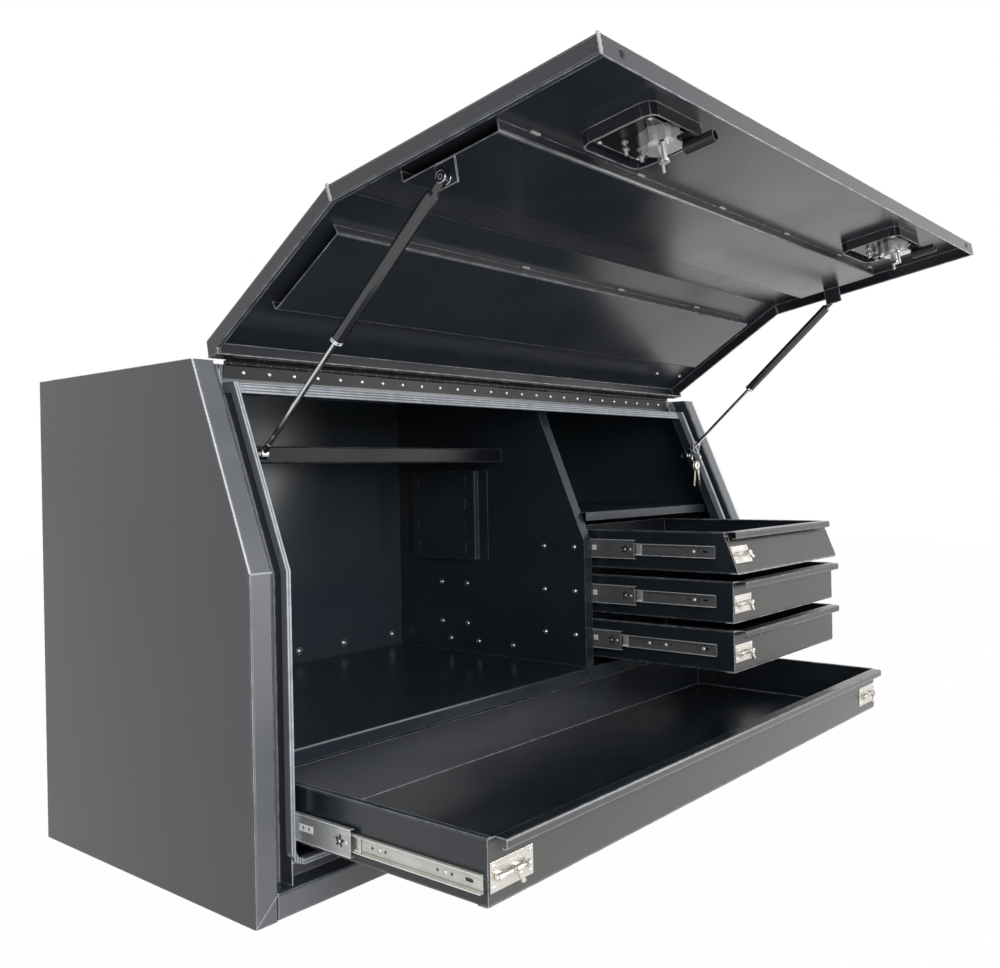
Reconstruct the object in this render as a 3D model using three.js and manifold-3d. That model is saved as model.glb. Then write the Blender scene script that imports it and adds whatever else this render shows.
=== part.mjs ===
// Drawer tool box for a service vehicle: a folded steel cabinet with a lifting front lid on gas struts,
// three small drawers and a wide one on ball slides, an open bay with a shelf, and two rotary latches.
// Millimetres. Pieces are drawn from the cabinet's lower front left corner: X to the right, Y to the
// back, Z up. The last group moves that corner so that the origin is the centre of the base.
import * as THREE from "three";
import { mergeVertices } from "three/addons/utils/BufferGeometryUtils.js";
import Module from "manifold-3d";

const wasm = await Module();
wasm.setup();

// Cabinet
const cabinetLength = 1470;
const cabinetDepth = 600;
const cabinetHeight = 800;
const kneeDrop = 49;
const topFrontDepth = 130;
const sheet = 1.6;
const bendRadius = 2;
const gap = 0.3;
const overrun = 5;

// Door opening: front strip, water gutter and upstand, the same on all sides
const stripWidth = 38;
const gutterDepth = 36;
const upstandPlace = 69;
const upstandFront = 8;
const jambSideDepth = 60;

// Hinge line at the rear of the lid
const hingeSetBack = 30.5;
const hingeRise = 2;
const knuckleRadius = 3.6;
const hingePinRadius = 1.8;
const leafThickness = 1.4;
const leafWidth = 24;
const leafInset = 78;
const knuckleCount = 8;
const headerDrop = 38;
const headerReach = 28;

// Seal clipped over the upstand
const sealFront = 3;
const sealDepth = 12;
const sealOuter = 4.5;
const sealWidth = 8.5;
const sealCorner = 15;
const sealHeaderHeight = 16;
const sealHeaderDepth = 13;

// Lid, closed: flush with the strips, its edges folded into the gutter
const lidSideInset = 46.7;
const lidBottom = 44.5;
const lidFlange = 26;
const lidHem = 7;
const lidOpenAngle = THREE.MathUtils.degToRad(99.6);
const stiffenerDepth = 18;
const stiffenerSideInset = 103;
const slantStiffenerLowShare = 0.18;
const slantStiffenerHighShare = 0.687;
const doorStiffenerLow = 233;
const doorStiffenerHigh = 404;

// Latches
const latchFromSide = 297;
const latchRimWidth = 140;
const latchRimHeight = 112;
const latchRimCentreZ = 148;
const latchRimDepth = 20;
const latchRimCorner = 16;
const latchPanMargin = 5;
const latchPanFloor = 14;
const latchSpindleZ = 125;
const latchSpindleRadius = 6;
const latchHubRadius = 28;
const latchHubEnd = 34;
const latchLeverThickness = 5;
const latchLeverReach = 34;
const latchLobeRadius = 20;
const latchHubRidges = 8;
const latchRidgeSteps = 4;
const latchHandleReach = 43;
const latchHandleWidth = 20;
const latchHandleCorner = 6.5;
const latchHandleDepth = 7;
const latchHandleBoss = 11;
const panFlange = 9;
const latchTubeRadius = 8.5;
const latchTubeWall = 1.8;
const latchTubeSide = 7;
const latchTubeHigh = 95;
const latchTubeLow = 52;
const latchTip = 56;

// Gas struts, each between a stud on the upstand and one on the lid
const strutFromSide = 98;
const strutLowDepth = 24;
const strutLowShare = 0.46;
const strutHighY = 41;
const strutHighZ = 328;
const studRadius = 4;
const studNutRadius = 7.5;
const studNutLength = 4;
const strutBracketThickness = 3;
const strutBracketHeight = 34;
const strutBracketReach = 10;
const socketRadius = 8;
const socketLength = 12;
const strutTubeRadius = 9.5;
const strutTubeLength = 262;
const strutNeck = 22;
const strutNeckRadius = 5;
const strutWall = 2;
const strutGland = 12;
const rodRadius = 4;
const rodHidden = 34;

// Compartments
const floorClearance = 39;
const floorFront = 47;
const floorLip = 24;
const dividerPlace = 872;
const dividerFront = 55;
const slideFace = 897.3;
const shelfDrop = 121;
const shelfFront = 274;
const shelfLip = 31;
const shelfReturn = 12;
const bracketDrop = 48;
const bracketHeight = 199;
const bracketFront = 316;
const bracketFlange = 29;
const bracketStandOff = 12;
const bracketWidth = 196;
const slotCount = 4;
const slotHeight = 22;
const slotWidth = 5;
const slotFromEdge = 24;
const coverClearance = 22;
const coverDepth = 42;
const coverLip = 18;
const coverBack = 524;

// Ball slides
const slideThickness = 12.7;
const outerHeight = 45;
const middleHeight = 39.6;
const innerHeight = 25;
const outerFront = 70;
const outerLength = 450;
const middleFront = 75;
const slideSheet = 1.3;
const slideBend = 0.4;
const slideHoleRadius = 2.6;
const slideSlotLength = 14;
const slideHoleInset = 22;
const slideHoleCount = 2;
const outerReach = 8.5;
const middleStart = 2.6;
const middleReach = 10.2;
const innerReach = 6.6;
const raceTurn = 2;
const supportMargin = 4;
const supportHeight = 54;

// Small drawers
const drawerSheet = 1.5;
const closedFace = 84;
const smallCount = 3;
const smallClearance = 16;
const smallSpacing = 14;
const smallHeight = 80;
const smallDepth = 430;
const smallPull = 345;
const smallInnerSetBack = 36;
const smallInnerLength = 400;
const topDrawerLean = 31;
const drawerHem = 8;
const lipReach = 20;
const lipDrop = 11;
const lipTurn = 6;
const lipEnd = 12;
const frontReturn = 17;
const drawerBend = 1.5;
const smallSlideRise = 41;
const leanShare = 0.4;

// Wide drawer
const wideBottom = 94;
const wideHeight = 86;
const wideDepth = 434;
const widePull = 435;
const wideInnerSetBack = 7;
const wideInnerLength = 428;
const wideSlideRise = 29;
const weldSink = 0.2;

// Share of the drawer's pull that each middle member has followed
const middleTravelShares = { top: 0.356, centre: 0.356, low: 0.252, wide: 0.432 };

// Barrel bolts
const boltPlateLength = 52;
const boltPlateHeight = 24;
const boltPlateThickness = 1.2;
const boltRadius = 3;
const boltLength = 52;
const boltFromEdge = 8;
const boltRise = 36;
const boltStandOff = 1;
const saddleInset = 4;
const saddleWidth = 9;
const saddleWall = 1.8;
const knobRadius = 2.6;
const knobLength = 12;
const knobPlace = 34;

// Key ring on the right strut
const keyTieRadius = 14;
const keyTieWire = 1.6;
const keyTieAlong = 40;
const keyRingRadius = 12;
const keyLength = 52;
const keyWidth = 9;
const keyHeadRadius = 11;
const keyHoleRadius = 3.6;
const keyThickness = 2.2;

// Heights that follow from the drawers stacked in the cabinet: the knee comes level with the top drawer
const floorHeight = wideBottom + wideHeight + floorClearance;
const smallBottom = floorHeight + smallClearance;
const smallPitch = smallHeight + smallSpacing;
const coverHeight = smallBottom + smallCount * smallPitch + coverClearance;
const kneeHeight = coverHeight - kneeDrop;
const shelfHeight = cabinetHeight - shelfDrop;
const bracketHigh = shelfHeight - bracketDrop;
const bracketLow = bracketHigh - bracketHeight;
const hingeY = topFrontDepth + hingeSetBack;
const hingeZ = cabinetHeight + hingeRise;

const slantLength = Math.hypot(topFrontDepth, cabinetHeight - kneeHeight);
const slantSin = topFrontDepth / slantLength;
const slantCos = (cabinetHeight - kneeHeight) / slantLength;
const slantAngle = Math.atan2(topFrontDepth, cabinetHeight - kneeHeight);
const upstandInner = upstandPlace + sheet;
const mirrored = (x) => cabinetLength - x;

// Solids: a geometry with merged points becomes a manifold, and goes back to a geometry when it is done
function toSolid(geometry) {
  const bare = geometry.clone();
  bare.deleteAttribute("normal");
  bare.deleteAttribute("uv");
  const merged = mergeVertices(bare.index ? bare.toNonIndexed() : bare);
  const vertProperties = new Float32Array(merged.attributes.position.array);
  const triVerts = new Uint32Array(merged.index.array);
  return new wasm.Manifold(new wasm.Mesh({ numProp: 3, vertProperties, triVerts }));
}

function toGeometry(solid) {
  const mesh = solid.getMesh();
  const geometry = new THREE.BufferGeometry();
  geometry.setAttribute("position", new THREE.BufferAttribute(new Float32Array(mesh.vertProperties), 3));
  geometry.setIndex(new THREE.BufferAttribute(new Uint32Array(mesh.triVerts), 1));
  return geometry;
}

const fuse = (...geometries) => toGeometry(geometries.map(toSolid).reduce((all, next) => all.add(next)));

const cut = (base, ...tools) =>
  toGeometry(tools.map(toSolid).reduce((left, tool) => left.subtract(tool), toSolid(base)));

const common = (base, other) => toGeometry(toSolid(base).intersect(toSolid(other)));

// Outlines
const shapeOf = (points) => new THREE.Shape(points.map(([u, v]) => new THREE.Vector2(u, v)));

function arcAt([u0, v0], [u, v], [u1, v1], radius) {
  const before = new THREE.Vector2(u0 - u, v0 - v).normalize();
  const after = new THREE.Vector2(u1 - u, v1 - v).normalize();
  const half = Math.acos(THREE.MathUtils.clamp(before.dot(after), -1, 1)) / 2;
  const middle = before.clone().add(after).normalize();
  const centre = middle.clone().multiplyScalar(radius / Math.sin(half));
  const first = before.clone().multiplyScalar(radius / Math.tan(half)).sub(centre);
  const last = after.clone().multiplyScalar(radius / Math.tan(half)).sub(centre);
  const sweep = Math.atan2(first.cross(last), first.dot(last));
  const steps = Math.max(1, Math.round(Math.abs(sweep) / (Math.PI / 4)));
  const points = [];
  for (let i = 0; i <= steps; i += 1) {
    const turned = first.clone().rotateAround(new THREE.Vector2(), (sweep * i) / steps);
    points.push([u + centre.x + turned.x, v + centre.y + turned.y]);
  }
  return points;
}

// A sheet folded along the face path, with its metal on the left of the path
function foldedSheet(path, thickness = sheet, radius = bendRadius) {
  const steps = path.slice(1).map(([u, v], i) => new THREE.Vector2(u - path[i][0], v - path[i][1]).normalize());
  const normals = steps.map((step) => new THREE.Vector2(-step.y, step.x));
  const far = path.map(([u, v], i) => {
    const before = normals[Math.max(i - 1, 0)];
    const after = normals[Math.min(i, normals.length - 1)];
    const shift = before.clone().add(after);
    shift.multiplyScalar((2 * thickness) / shift.lengthSq());
    return [u + shift.x, v + shift.y];
  });
  const near = [];
  const back = [];
  path.forEach((point, i) => {
    if (i === 0 || i === path.length - 1) {
      near.push(point);
      back.push(far[i]);
      return;
    }
    const leftTurn = steps[i - 1].cross(steps[i]) > 0;
    const nearRadius = leftTurn ? radius + thickness : radius;
    const farRadius = leftTurn ? radius : radius + thickness;
    near.push(...arcAt(path[i - 1], point, path[i + 1], nearRadius));
    back.push(...arcAt(far[i - 1], far[i], far[i + 1], farRadius));
  });
  return shapeOf([...near, ...back.reverse()]);
}

function roundedRect(u0, v0, u1, v1, radius) {
  const shape = new THREE.Shape();
  shape.moveTo(u0 + radius, v0);
  shape.lineTo(u1 - radius, v0);
  shape.absarc(u1 - radius, v0 + radius, radius, -Math.PI / 2, 0);
  shape.lineTo(u1, v1 - radius);
  shape.absarc(u1 - radius, v1 - radius, radius, 0, Math.PI / 2);
  shape.lineTo(u0 + radius, v1);
  shape.absarc(u0 + radius, v1 - radius, radius, Math.PI / 2, Math.PI);
  shape.lineTo(u0, v0 + radius);
  shape.absarc(u0 + radius, v0 + radius, radius, Math.PI, Math.PI * 1.5);
  return shape;
}

function disc(u, v, radius, bore = 0) {
  const shape = new THREE.Shape();
  const hole = new THREE.Path();
  const quarter = Math.PI / 2;
  for (let i = 0; i < 4; i += 1) {
    shape.absarc(u, v, radius, i * quarter, (i + 1) * quarter);
    hole.absarc(u, v, bore, -i * quarter, -(i + 1) * quarter, true);
  }
  if (bore > 0) shape.holes.push(hole);
  return shape;
}

// Extrusions along each axis: outlines are drawn in (y, z), (x, z) and (x, y)
function extrude(shape, length, curveSegments) {
  return new THREE.ExtrudeGeometry(shape, { depth: length, bevelEnabled: false, curveSegments });
}

const alongX = (shape, from, to, segments = 3) =>
  extrude(shape, to - from, segments).applyMatrix4(
    new THREE.Matrix4().set(0, 0, 1, from, 1, 0, 0, 0, 0, 1, 0, 0, 0, 0, 0, 1));

const alongY = (shape, from, to, segments = 1) =>
  extrude(shape, to - from, segments).applyMatrix4(
    new THREE.Matrix4().set(1, 0, 0, 0, 0, 0, -1, to, 0, 1, 0, 0, 0, 0, 0, 1));

const alongZ = (shape, from, to, segments = 3) => extrude(shape, to - from, segments).translate(0, 0, from);

const block = (x0, x1, y0, y1, z0, z1) =>
  new THREE.BoxGeometry(x1 - x0, y1 - y0, z1 - z0).translate((x0 + x1) / 2, (y0 + y1) / 2, (z0 + z1) / 2);

// A pin along X, and a turned piece along Y with its profile as [radius, y] from the front
const pinX = (y, z, radius, from, to, sides = 10) =>
  new THREE.CylinderGeometry(radius, radius, to - from, sides)
    .rotateZ(Math.PI / 2)
    .translate((from + to) / 2, y, z);

const pinY = (x, z, radius, from, to, sides = 12) =>
  new THREE.CylinderGeometry(radius, radius, to - from, sides).translate(x, (from + to) / 2, z);

const pinZ = (x, y, radius, from, to, sides = 12) =>
  new THREE.CylinderGeometry(radius, radius, to - from, sides)
    .rotateX(Math.PI / 2)
    .translate(x, y, (from + to) / 2);

// The other hand of a piece: x becomes span - x, with its triangles turned back
function mirrorX(geometry, span = cabinetLength) {
  const other = fuse(geometry).scale(-1, 1, 1).translate(span, 0, 0);
  const index = other.index.array;
  for (let i = 0; i < index.length; i += 3) {
    [index[i], index[i + 1]] = [index[i + 1], index[i]];
  }
  return other;
}

// The front of the cabinet goes up to the knee and then slants back to the top: a path at any depth
const kneeAt = (depth) => kneeHeight - (depth * (1 - slantCos)) / slantSin;
const frontAt = (z, depth) =>
  z <= kneeAt(depth) ? depth : (depth + slantSin * (z - kneeHeight)) / slantCos;

function frontBand(d0, d1, z0, z1) {
  const edge = (depth) => {
    const knee = z0 < kneeAt(depth) && kneeAt(depth) < z1 ? [[depth, kneeAt(depth)]] : [];
    return [[frontAt(z0, depth), z0], ...knee, [frontAt(z1, depth), z1]];
  };
  return shapeOf([...edge(d0), ...edge(d1).reverse()]);
}

// A sheet section drawn in (x, depth) and lofted through stations, each a place for any depth
function loft(section, stations) {
  const ring = section.getPoints();
  if (THREE.ShapeUtils.isClockWise(ring)) ring.reverse();
  const cap = THREE.ShapeUtils.triangulateShape(ring, []);
  const count = ring.length;
  const points = stations.flatMap((place) => ring.flatMap(({ x, y }) => [x, ...place(y)]));
  const triangles = cap.flatMap(([a, b, c]) => [a, c, b]);
  const last = (stations.length - 1) * count;
  triangles.push(...cap.flatMap(([a, b, c]) => [last + a, last + b, last + c]));
  for (let k = 0; k < last; k += count) {
    for (let i = 0; i < count; i += 1) {
      const next = (i + 1) % count;
      triangles.push(k + i, k + next, k + count + next, k + i, k + count + next, k + count + i);
    }
  }
  const geometry = new THREE.BufferGeometry();
  geometry.setAttribute("position", new THREE.Float32BufferAttribute(points, 3));
  geometry.setIndex(triangles);
  return geometry;
}

const strutLowZ = coverHeight + (cabinetHeight - coverHeight) * strutLowShare;
const strutLowY = frontAt(strutLowZ, strutLowDepth);
const coverFront = frontAt(coverHeight, coverDepth);

const atHeight = (z) => (depth) => [frontAt(z, depth), z];
const atKnee = (depth) => [depth, kneeAt(depth)];

// Front edge of the cabinet's flat top, where its hinge flange turns down
const headerFace = hingeY + knuckleRadius + gap;
const headerZ = cabinetHeight - headerDrop;
const sealTop = headerZ - sheet / 2 + sealHeaderHeight / 2;
const gutterBack = gutterDepth + sheet;

// Side panel: flat side, front strip, water gutter and upstand from one folded sheet, with its strut stud
function sidePanel() {
  const jamb = loft(foldedSheet([
    [0, jambSideDepth], [0, 0], [stripWidth, 0], [stripWidth, gutterDepth],
    [upstandPlace, gutterDepth], [upstandPlace, upstandFront],
  ]), [atHeight(0), atKnee, atHeight(cabinetHeight)]);
  const sideFront = jambSideDepth / 2;
  const side = alongX(shapeOf([
    [sideFront, 0], [cabinetDepth, 0], [cabinetDepth, cabinetHeight],
    [frontAt(cabinetHeight, sideFront), cabinetHeight], [sideFront, kneeAt(sideFront)],
  ]), 0, sheet);
  const tab = block(0, stripWidth, topFrontDepth, headerFace + sheet, cabinetHeight - sheet, cabinetHeight);
  const stud = pinX(strutLowY, strutLowZ, studRadius, upstandPlace, strutFromSide - socketLength / 2 - gap);
  const nut = pinX(strutLowY, strutLowZ, studNutRadius, upstandPlace, upstandInner + studNutLength, 6);
  const sillNotch = block(stripWidth + gap, upstandInner + overrun, -overrun, gutterBack + gap,
    -overrun, stripWidth + gap);
  const hingeNotch = alongX(frontBand(-overrun, gutterDepth, sealTop + gap, cabinetHeight + overrun),
    upstandPlace - gap, upstandInner + gap);
  return cut(fuse(jamb, side, tab, stud, nut), sillNotch, hingeNotch);
}

// Wrap: sill with its gutter, bottom, back, top and hinge flange, folded from one sheet
function cabinetWrap() {
  const section = foldedSheet([
    [upstandFront, upstandPlace], [gutterDepth, upstandPlace], [gutterDepth, stripWidth], [0, stripWidth],
    [0, 0], [cabinetDepth, 0], [cabinetDepth, cabinetHeight], [headerFace, cabinetHeight],
    [headerFace, headerZ], [headerFace - headerReach, headerZ],
  ]);
  const inside = sheet + gap;
  const wrap = alongX(section, inside, mirrored(inside));
  const gutterTopY = frontAt(cabinetHeight, gutterBack) + gap;
  const stripEdge = stripWidth + gap;
  const upstandEdge = upstandInner + gap;
  const high = cabinetHeight + overrun;
  const notches = [
    block(-overrun, stripEdge, -overrun, gutterBack + gap, -overrun, upstandEdge),
    block(-overrun, upstandEdge, -overrun, gutterBack + gap, stripEdge, upstandEdge),
    block(-overrun, stripEdge, -overrun, headerFace + sheet + gap, headerZ - sheet - gap, high),
    block(-overrun, upstandEdge, -overrun, gutterTopY, headerZ - sheet - gap, high),
  ];
  const both = notches.flatMap((notch) => [notch, mirrorX(notch)]);
  return cut(wrap, ...both);
}

// Seal: a rubber section clipped over the upstand, in one ring with round corners
function doorSeal() {
  const outer = upstandPlace - sealOuter;
  const inner = outer + sealWidth;
  const back = sealFront + sealDepth;
  const low = sealTop - sealHeaderHeight;
  const ring = common(
    alongX(frontBand(sealFront, back, outer, low + sealHeaderHeight / 2), outer, mirrored(outer)),
    alongY(roundedRect(outer, outer, mirrored(outer), cabinetHeight * 2, sealCorner + sealWidth),
      -cabinetDepth, cabinetDepth),
  );
  const opening = alongY(roundedRect(inner, inner, mirrored(inner), cabinetHeight * 2, sealCorner),
    -cabinetDepth, cabinetDepth);
  const run = alongX(frontBand(back, back + sealHeaderDepth, low, sealTop), outer, mirrored(outer));
  const corner = alongX(frontBand(sealFront, back + overrun, low, sealTop), outer, inner);
  const slotFront = upstandFront - gap;
  const sideSlot = alongX(frontBand(slotFront, gutterDepth, 0, sealTop - sealHeaderHeight / 4),
    upstandPlace - gap, upstandInner + gap);
  const sillSlot = block(upstandPlace, mirrored(upstandPlace), slotFront, gutterDepth,
    upstandPlace - gap, upstandInner + gap);
  const headerSlot = block(upstandInner, mirrored(upstandInner), headerFace - headerReach - gap,
    headerFace, headerZ - sheet - gap, headerZ + gap);
  const jambClearance = alongX(frontBand(slotFront, gutterDepth, 0, cabinetHeight - sheet),
    upstandPlace - gap, upstandInner + gap);
  return cut(fuse(cut(ring, opening), run, corner, mirrorX(corner)), sideSlot, mirrorX(sideSlot), sillSlot,
    headerSlot, jambClearance, mirrorX(jambClearance));
}

// Piano hinge: each leaf carries every second knuckle, and the pin runs through all of them
const hingeFrom = leafInset;
const hingeTo = mirrored(leafInset);
const knucklePitch = (hingeTo - hingeFrom) / knuckleCount;

function hingeLeaf(first, y0) {
  const leaf = block(hingeFrom, hingeTo, y0, y0 + leafThickness, hingeZ - leafWidth,
    hingeZ - knuckleRadius - gap);
  const knuckles = [];
  for (let i = first; i < knuckleCount; i += 2) {
    const from = hingeFrom + i * knucklePitch + gap;
    const to = from + knucklePitch - 2 * gap;
    const tab = block(from, to, y0, y0 + leafThickness, hingeZ - knuckleRadius - 2 * gap, hingeZ);
    const barrel = alongX(disc(hingeY, hingeZ, knuckleRadius), from, to, 2);
    const bore = alongX(disc(hingeY, hingeZ, hingePinRadius + gap), from - gap, to + gap, 2);
    knuckles.push(cut(fuse(tab, barrel), bore));
  }
  return fuse(leaf, ...knuckles);
}

const hingeCabinetLeaf = () => hingeLeaf(0, hingeY + knuckleRadius - leafThickness);
const hingeLidLeaf = () => hingeLeaf(1, hingeY - knuckleRadius);
const hingePin = () => pinX(hingeY, hingeZ, hingePinRadius, hingeFrom, hingeTo, 8);
const lidRear = hingeY - knuckleRadius - gap;

// Fixed pieces inside the cabinet
const inner = sheet + gap;
const backFace = cabinetDepth - sheet - gap;

const compartmentFloor = () =>
  alongX(foldedSheet([
    [backFace, floorHeight], [floorFront, floorHeight], [floorFront, floorHeight - floorLip],
  ]), inner, mirrored(inner));

const slideHeights = Array.from({ length: smallCount },
  (_, i) => smallBottom + i * smallPitch + smallSlideRise);

// Divider: a wall with a front flange, and three rails that carry the left slides of the small drawers
function dividerWall() {
  const low = floorHeight + gap;
  const high = cabinetHeight - sheet - gap;
  const wall = alongX(shapeOf([
    [dividerFront, low], [backFace, low], [backFace, high - bendRadius], [backFace - bendRadius, high],
    [frontAt(high, dividerFront), high],
    [dividerFront, kneeAt(dividerFront)],
  ]), dividerPlace, dividerPlace + sheet);
  const flange = alongX(frontBand(dividerFront, dividerFront + sheet, low, high), dividerPlace, slideFace);
  const rails = slideHeights.map((z) => alongY(foldedSheet([
    [dividerPlace + sheet / 2, z + supportHeight / 2], [slideFace, z + supportHeight / 2],
    [slideFace, z - supportHeight / 2], [dividerPlace + sheet / 2, z - supportHeight / 2],
  ].reverse()), outerFront - supportMargin, outerFront + outerLength + supportMargin));
  return fuse(wall, flange, ...rails);
}

// Slide supports: channels from the side panels, flush with the upstand so that the drawers pass it
function slideSupport(low, high) {
  return alongY(foldedSheet([
    [inner, low], [upstandInner, low], [upstandInner, high], [inner, high],
  ]), outerFront - supportMargin, outerFront + outerLength + supportMargin);
}

const wideSlideZ = wideBottom + wideSlideRise;
const lowerSupport = () => slideSupport(wideSlideZ - supportHeight / 2, wideSlideZ + supportHeight / 2);
const upperSupport = () =>
  slideSupport(floorHeight + 2 * gap, slideHeights.at(-1) + supportHeight / 2);

const upperShelf = () =>
  alongX(foldedSheet([
    [backFace, shelfHeight], [shelfFront, shelfHeight], [shelfFront, shelfHeight - shelfLip],
    [shelfFront + shelfReturn, shelfHeight - shelfLip],
  ]), inner, dividerPlace - gap);

const bayCover = () =>
  alongX(foldedSheet([
    [coverBack, coverHeight], [coverFront, coverHeight], [coverFront, coverHeight - coverLip],
  ]), slideFace + gap, mirrored(inner));

// Shelf bracket: a folded plate that stands off the wall, with two columns of slots for shelf hooks
function shelfBracket(wallFace) {
  const standOff = wallFace - bracketStandOff;
  const step = bracketFront + bracketFlange;
  const plateBack = step + bracketWidth;
  const plate = alongZ(foldedSheet([
    [wallFace, plateBack + bracketFlange], [wallFace, plateBack], [standOff, plateBack], [standOff, step],
    [wallFace, step], [wallFace, bracketFront],
  ].reverse()), bracketLow, bracketHigh);
  const pitch = (bracketHigh - bracketLow) / slotCount;
  const slots = [];
  for (const y of [step + slotFromEdge, plateBack - slotFromEdge]) {
    for (let i = 0; i < slotCount; i += 1) {
      const z = bracketLow + (i + 1 / 2) * pitch;
      slots.push(block(standOff - overrun, standOff + overrun, y - slotWidth / 2, y + slotWidth / 2,
        z - slotHeight / 2, z + slotHeight / 2));
    }
  }
  return cut(plate, ...slots);
}

// Lid, drawn closed: top facet, slanted facet and door facet, with folded edges
function lidShell() {
  const left = lidSideInset;
  const right = mirrored(lidSideInset);
  const topCorner = (depth) => [frontAt(cabinetHeight - depth, depth), cabinetHeight - depth];
  const rearEdge = (depth) => [lidRear, cabinetHeight - depth];
  const skin = loft(foldedSheet([
    [left + lidHem, lidFlange], [left, lidFlange], [left, 0], [right, 0], [right, lidFlange],
    [right - lidHem, lidFlange],
  ]), [atHeight(lidBottom), atKnee, topCorner, rearEdge]);
  const rear = block(left, right, lidRear - sheet, lidRear, cabinetHeight - lidFlange,
    cabinetHeight - sheet / 2);
  const tip = block(left, right, sheet / 2, lidFlange, lidBottom, lidBottom + sheet);
  const places = [latchFromSide, mirrored(latchFromSide)];
  const rims = places.map(latchRim);
  const holes = places.map((x) => alongY(latchOutline(x, latchPanMargin + panFlange), -overrun, gutterDepth));
  return cut(fuse(skin, rear, tip, ...rims), ...holes);
}

const latchOutline = (x, inset) =>
  roundedRect(
    x - latchRimWidth / 2 + inset, latchRimCentreZ - latchRimHeight / 2 + inset,
    x + latchRimWidth / 2 - inset, latchRimCentreZ + latchRimHeight / 2 - inset,
    Math.max(latchRimCorner - inset, bendRadius),
  );

const latchRim = (x) =>
  cut(alongY(latchOutline(x, 0), sheet / 2, latchRimDepth),
    alongY(latchOutline(x, sheet), 0, latchRimDepth + overrun));

// Latch pan: a pressed dish behind the lid's opening, which holds the folding handle outside
function latchPan(x) {
  const bare = latchPanMargin + panFlange + gap;
  const flange = alongY(latchOutline(x, latchPanMargin), -gap - sheet, -gap);
  const dish = alongY(latchOutline(x, bare), -gap - sheet, latchPanFloor);
  const hollow = alongY(latchOutline(x, bare + sheet), -overrun, latchPanFloor - sheet);
  const bore = pinY(x, latchSpindleZ, latchSpindleRadius + gap, -overrun, gutterDepth);
  return cut(fuse(flange, dish), hollow, bore);
}

// Latch cam: spindle, ridged hub, lever with a round lobe, and the tube that catches behind the sill
function latchCam(x) {
  const hubFront = latchPanFloor + gap;
  const spindle = pinY(x, latchSpindleZ, latchSpindleRadius, latchHandleDepth + 2 * gap, latchTip);
  const hub = new THREE.Shape();
  const steps = latchHubRidges * latchRidgeSteps;
  const ridge = latchHubRadius - latchSpindleRadius / 2;
  for (let i = 0; i < steps; i += 1) {
    const turn = (i / steps) * Math.PI * 2;
    const radius = i % latchRidgeSteps < latchRidgeSteps / 2 ? latchHubRadius : ridge;
    const point = [x + radius * Math.cos(turn), latchSpindleZ + radius * Math.sin(turn)];
    if (i === 0) hub.moveTo(...point);
    else hub.lineTo(...point);
  }
  const crown = alongY(hub, hubFront, latchHubEnd);
  const leverBack = latchHubEnd + latchLeverThickness;
  const lobe = pinY(x, latchSpindleZ, latchLobeRadius, latchHubEnd - gap, leverBack, 16);
  const arm = block(x - latchLobeRadius / 2, x + latchLobeRadius, latchHubEnd - gap, leverBack,
    latchTubeHigh - latchLeverReach / 2, latchSpindleZ);
  const tubeX = x + latchTubeSide;
  const tubeY = leverBack + latchTubeRadius - latchTubeWall / 2;
  const tube = cut(pinZ(tubeX, tubeY, latchTubeRadius, latchTubeLow, latchTubeHigh, 14),
    pinZ(tubeX, tubeY, latchTubeRadius - latchTubeWall, latchTubeLow - overrun, latchTubeHigh + overrun));
  return fuse(spindle, crown, lobe, arm, tube);
}

function latchHandle(x) {
  const bar = alongY(roundedRect(
    x - latchHandleWidth / 2, latchSpindleZ - latchHandleWidth / 2,
    x + latchHandleWidth / 2, latchSpindleZ + latchHandleReach, latchHandleCorner,
  ), 0, latchHandleDepth);
  const boss = pinY(x, latchSpindleZ, latchHandleBoss, 0, latchHandleDepth, 16);
  return fuse(bar, boss);
}

// Stiffeners: hat sections behind the slanted facet and the door facet
const hatSection = (low, high) =>
  foldedSheet([
    [sheet + gap, low], [stiffenerDepth, low], [stiffenerDepth, high], [sheet + gap, high],
  ]);

const slantStiffener = () =>
  alongX(hatSection(slantLength * slantStiffenerLowShare, slantLength * slantStiffenerHighShare),
    stiffenerSideInset, mirrored(stiffenerSideInset))
    .rotateX(-slantAngle)
    .translate(0, 0, kneeHeight);

function doorStiffener() {
  const hat = alongX(hatSection(doorStiffenerLow, doorStiffenerHigh), stiffenerSideInset,
    mirrored(stiffenerSideInset));
  const plateX = strutFromSide + socketLength / 2 + 2 * gap;
  const bracket = block(plateX, plateX + strutBracketThickness, stiffenerDepth - sheet / 2,
    strutHighY + strutBracketReach, strutHighZ - strutBracketHeight / 2, strutHighZ + strutBracketHeight / 2);
  const stud = pinX(strutHighY, strutHighZ, studRadius, strutFromSide - socketLength / 2,
    plateX + strutBracketThickness / 2);
  const left = fuse(bracket, stud);
  return fuse(hat, left, mirrorX(left));
}

// Gas struts, drawn along Z from the stud on the lid to the stud on the cabinet
function openPoint(y, z) {
  const arm = new THREE.Vector2(y - hingeY, z - hingeZ);
  arm.rotateAround(new THREE.Vector2(), -lidOpenAngle);
  return [hingeY + arm.x, hingeZ + arm.y];
}

const [strutTopY, strutTopZ] = openPoint(strutHighY, strutHighZ);
const strutLength = Math.hypot(strutLowY - strutTopY, strutLowZ - strutTopZ);
const strutTubeEnd = strutNeck + strutTubeLength;

const turnedZ = (profile, segments = 8) =>
  new THREE.LatheGeometry(profile.map(([r, s]) => new THREE.Vector2(r, s)), segments).rotateX(Math.PI / 2);

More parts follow.
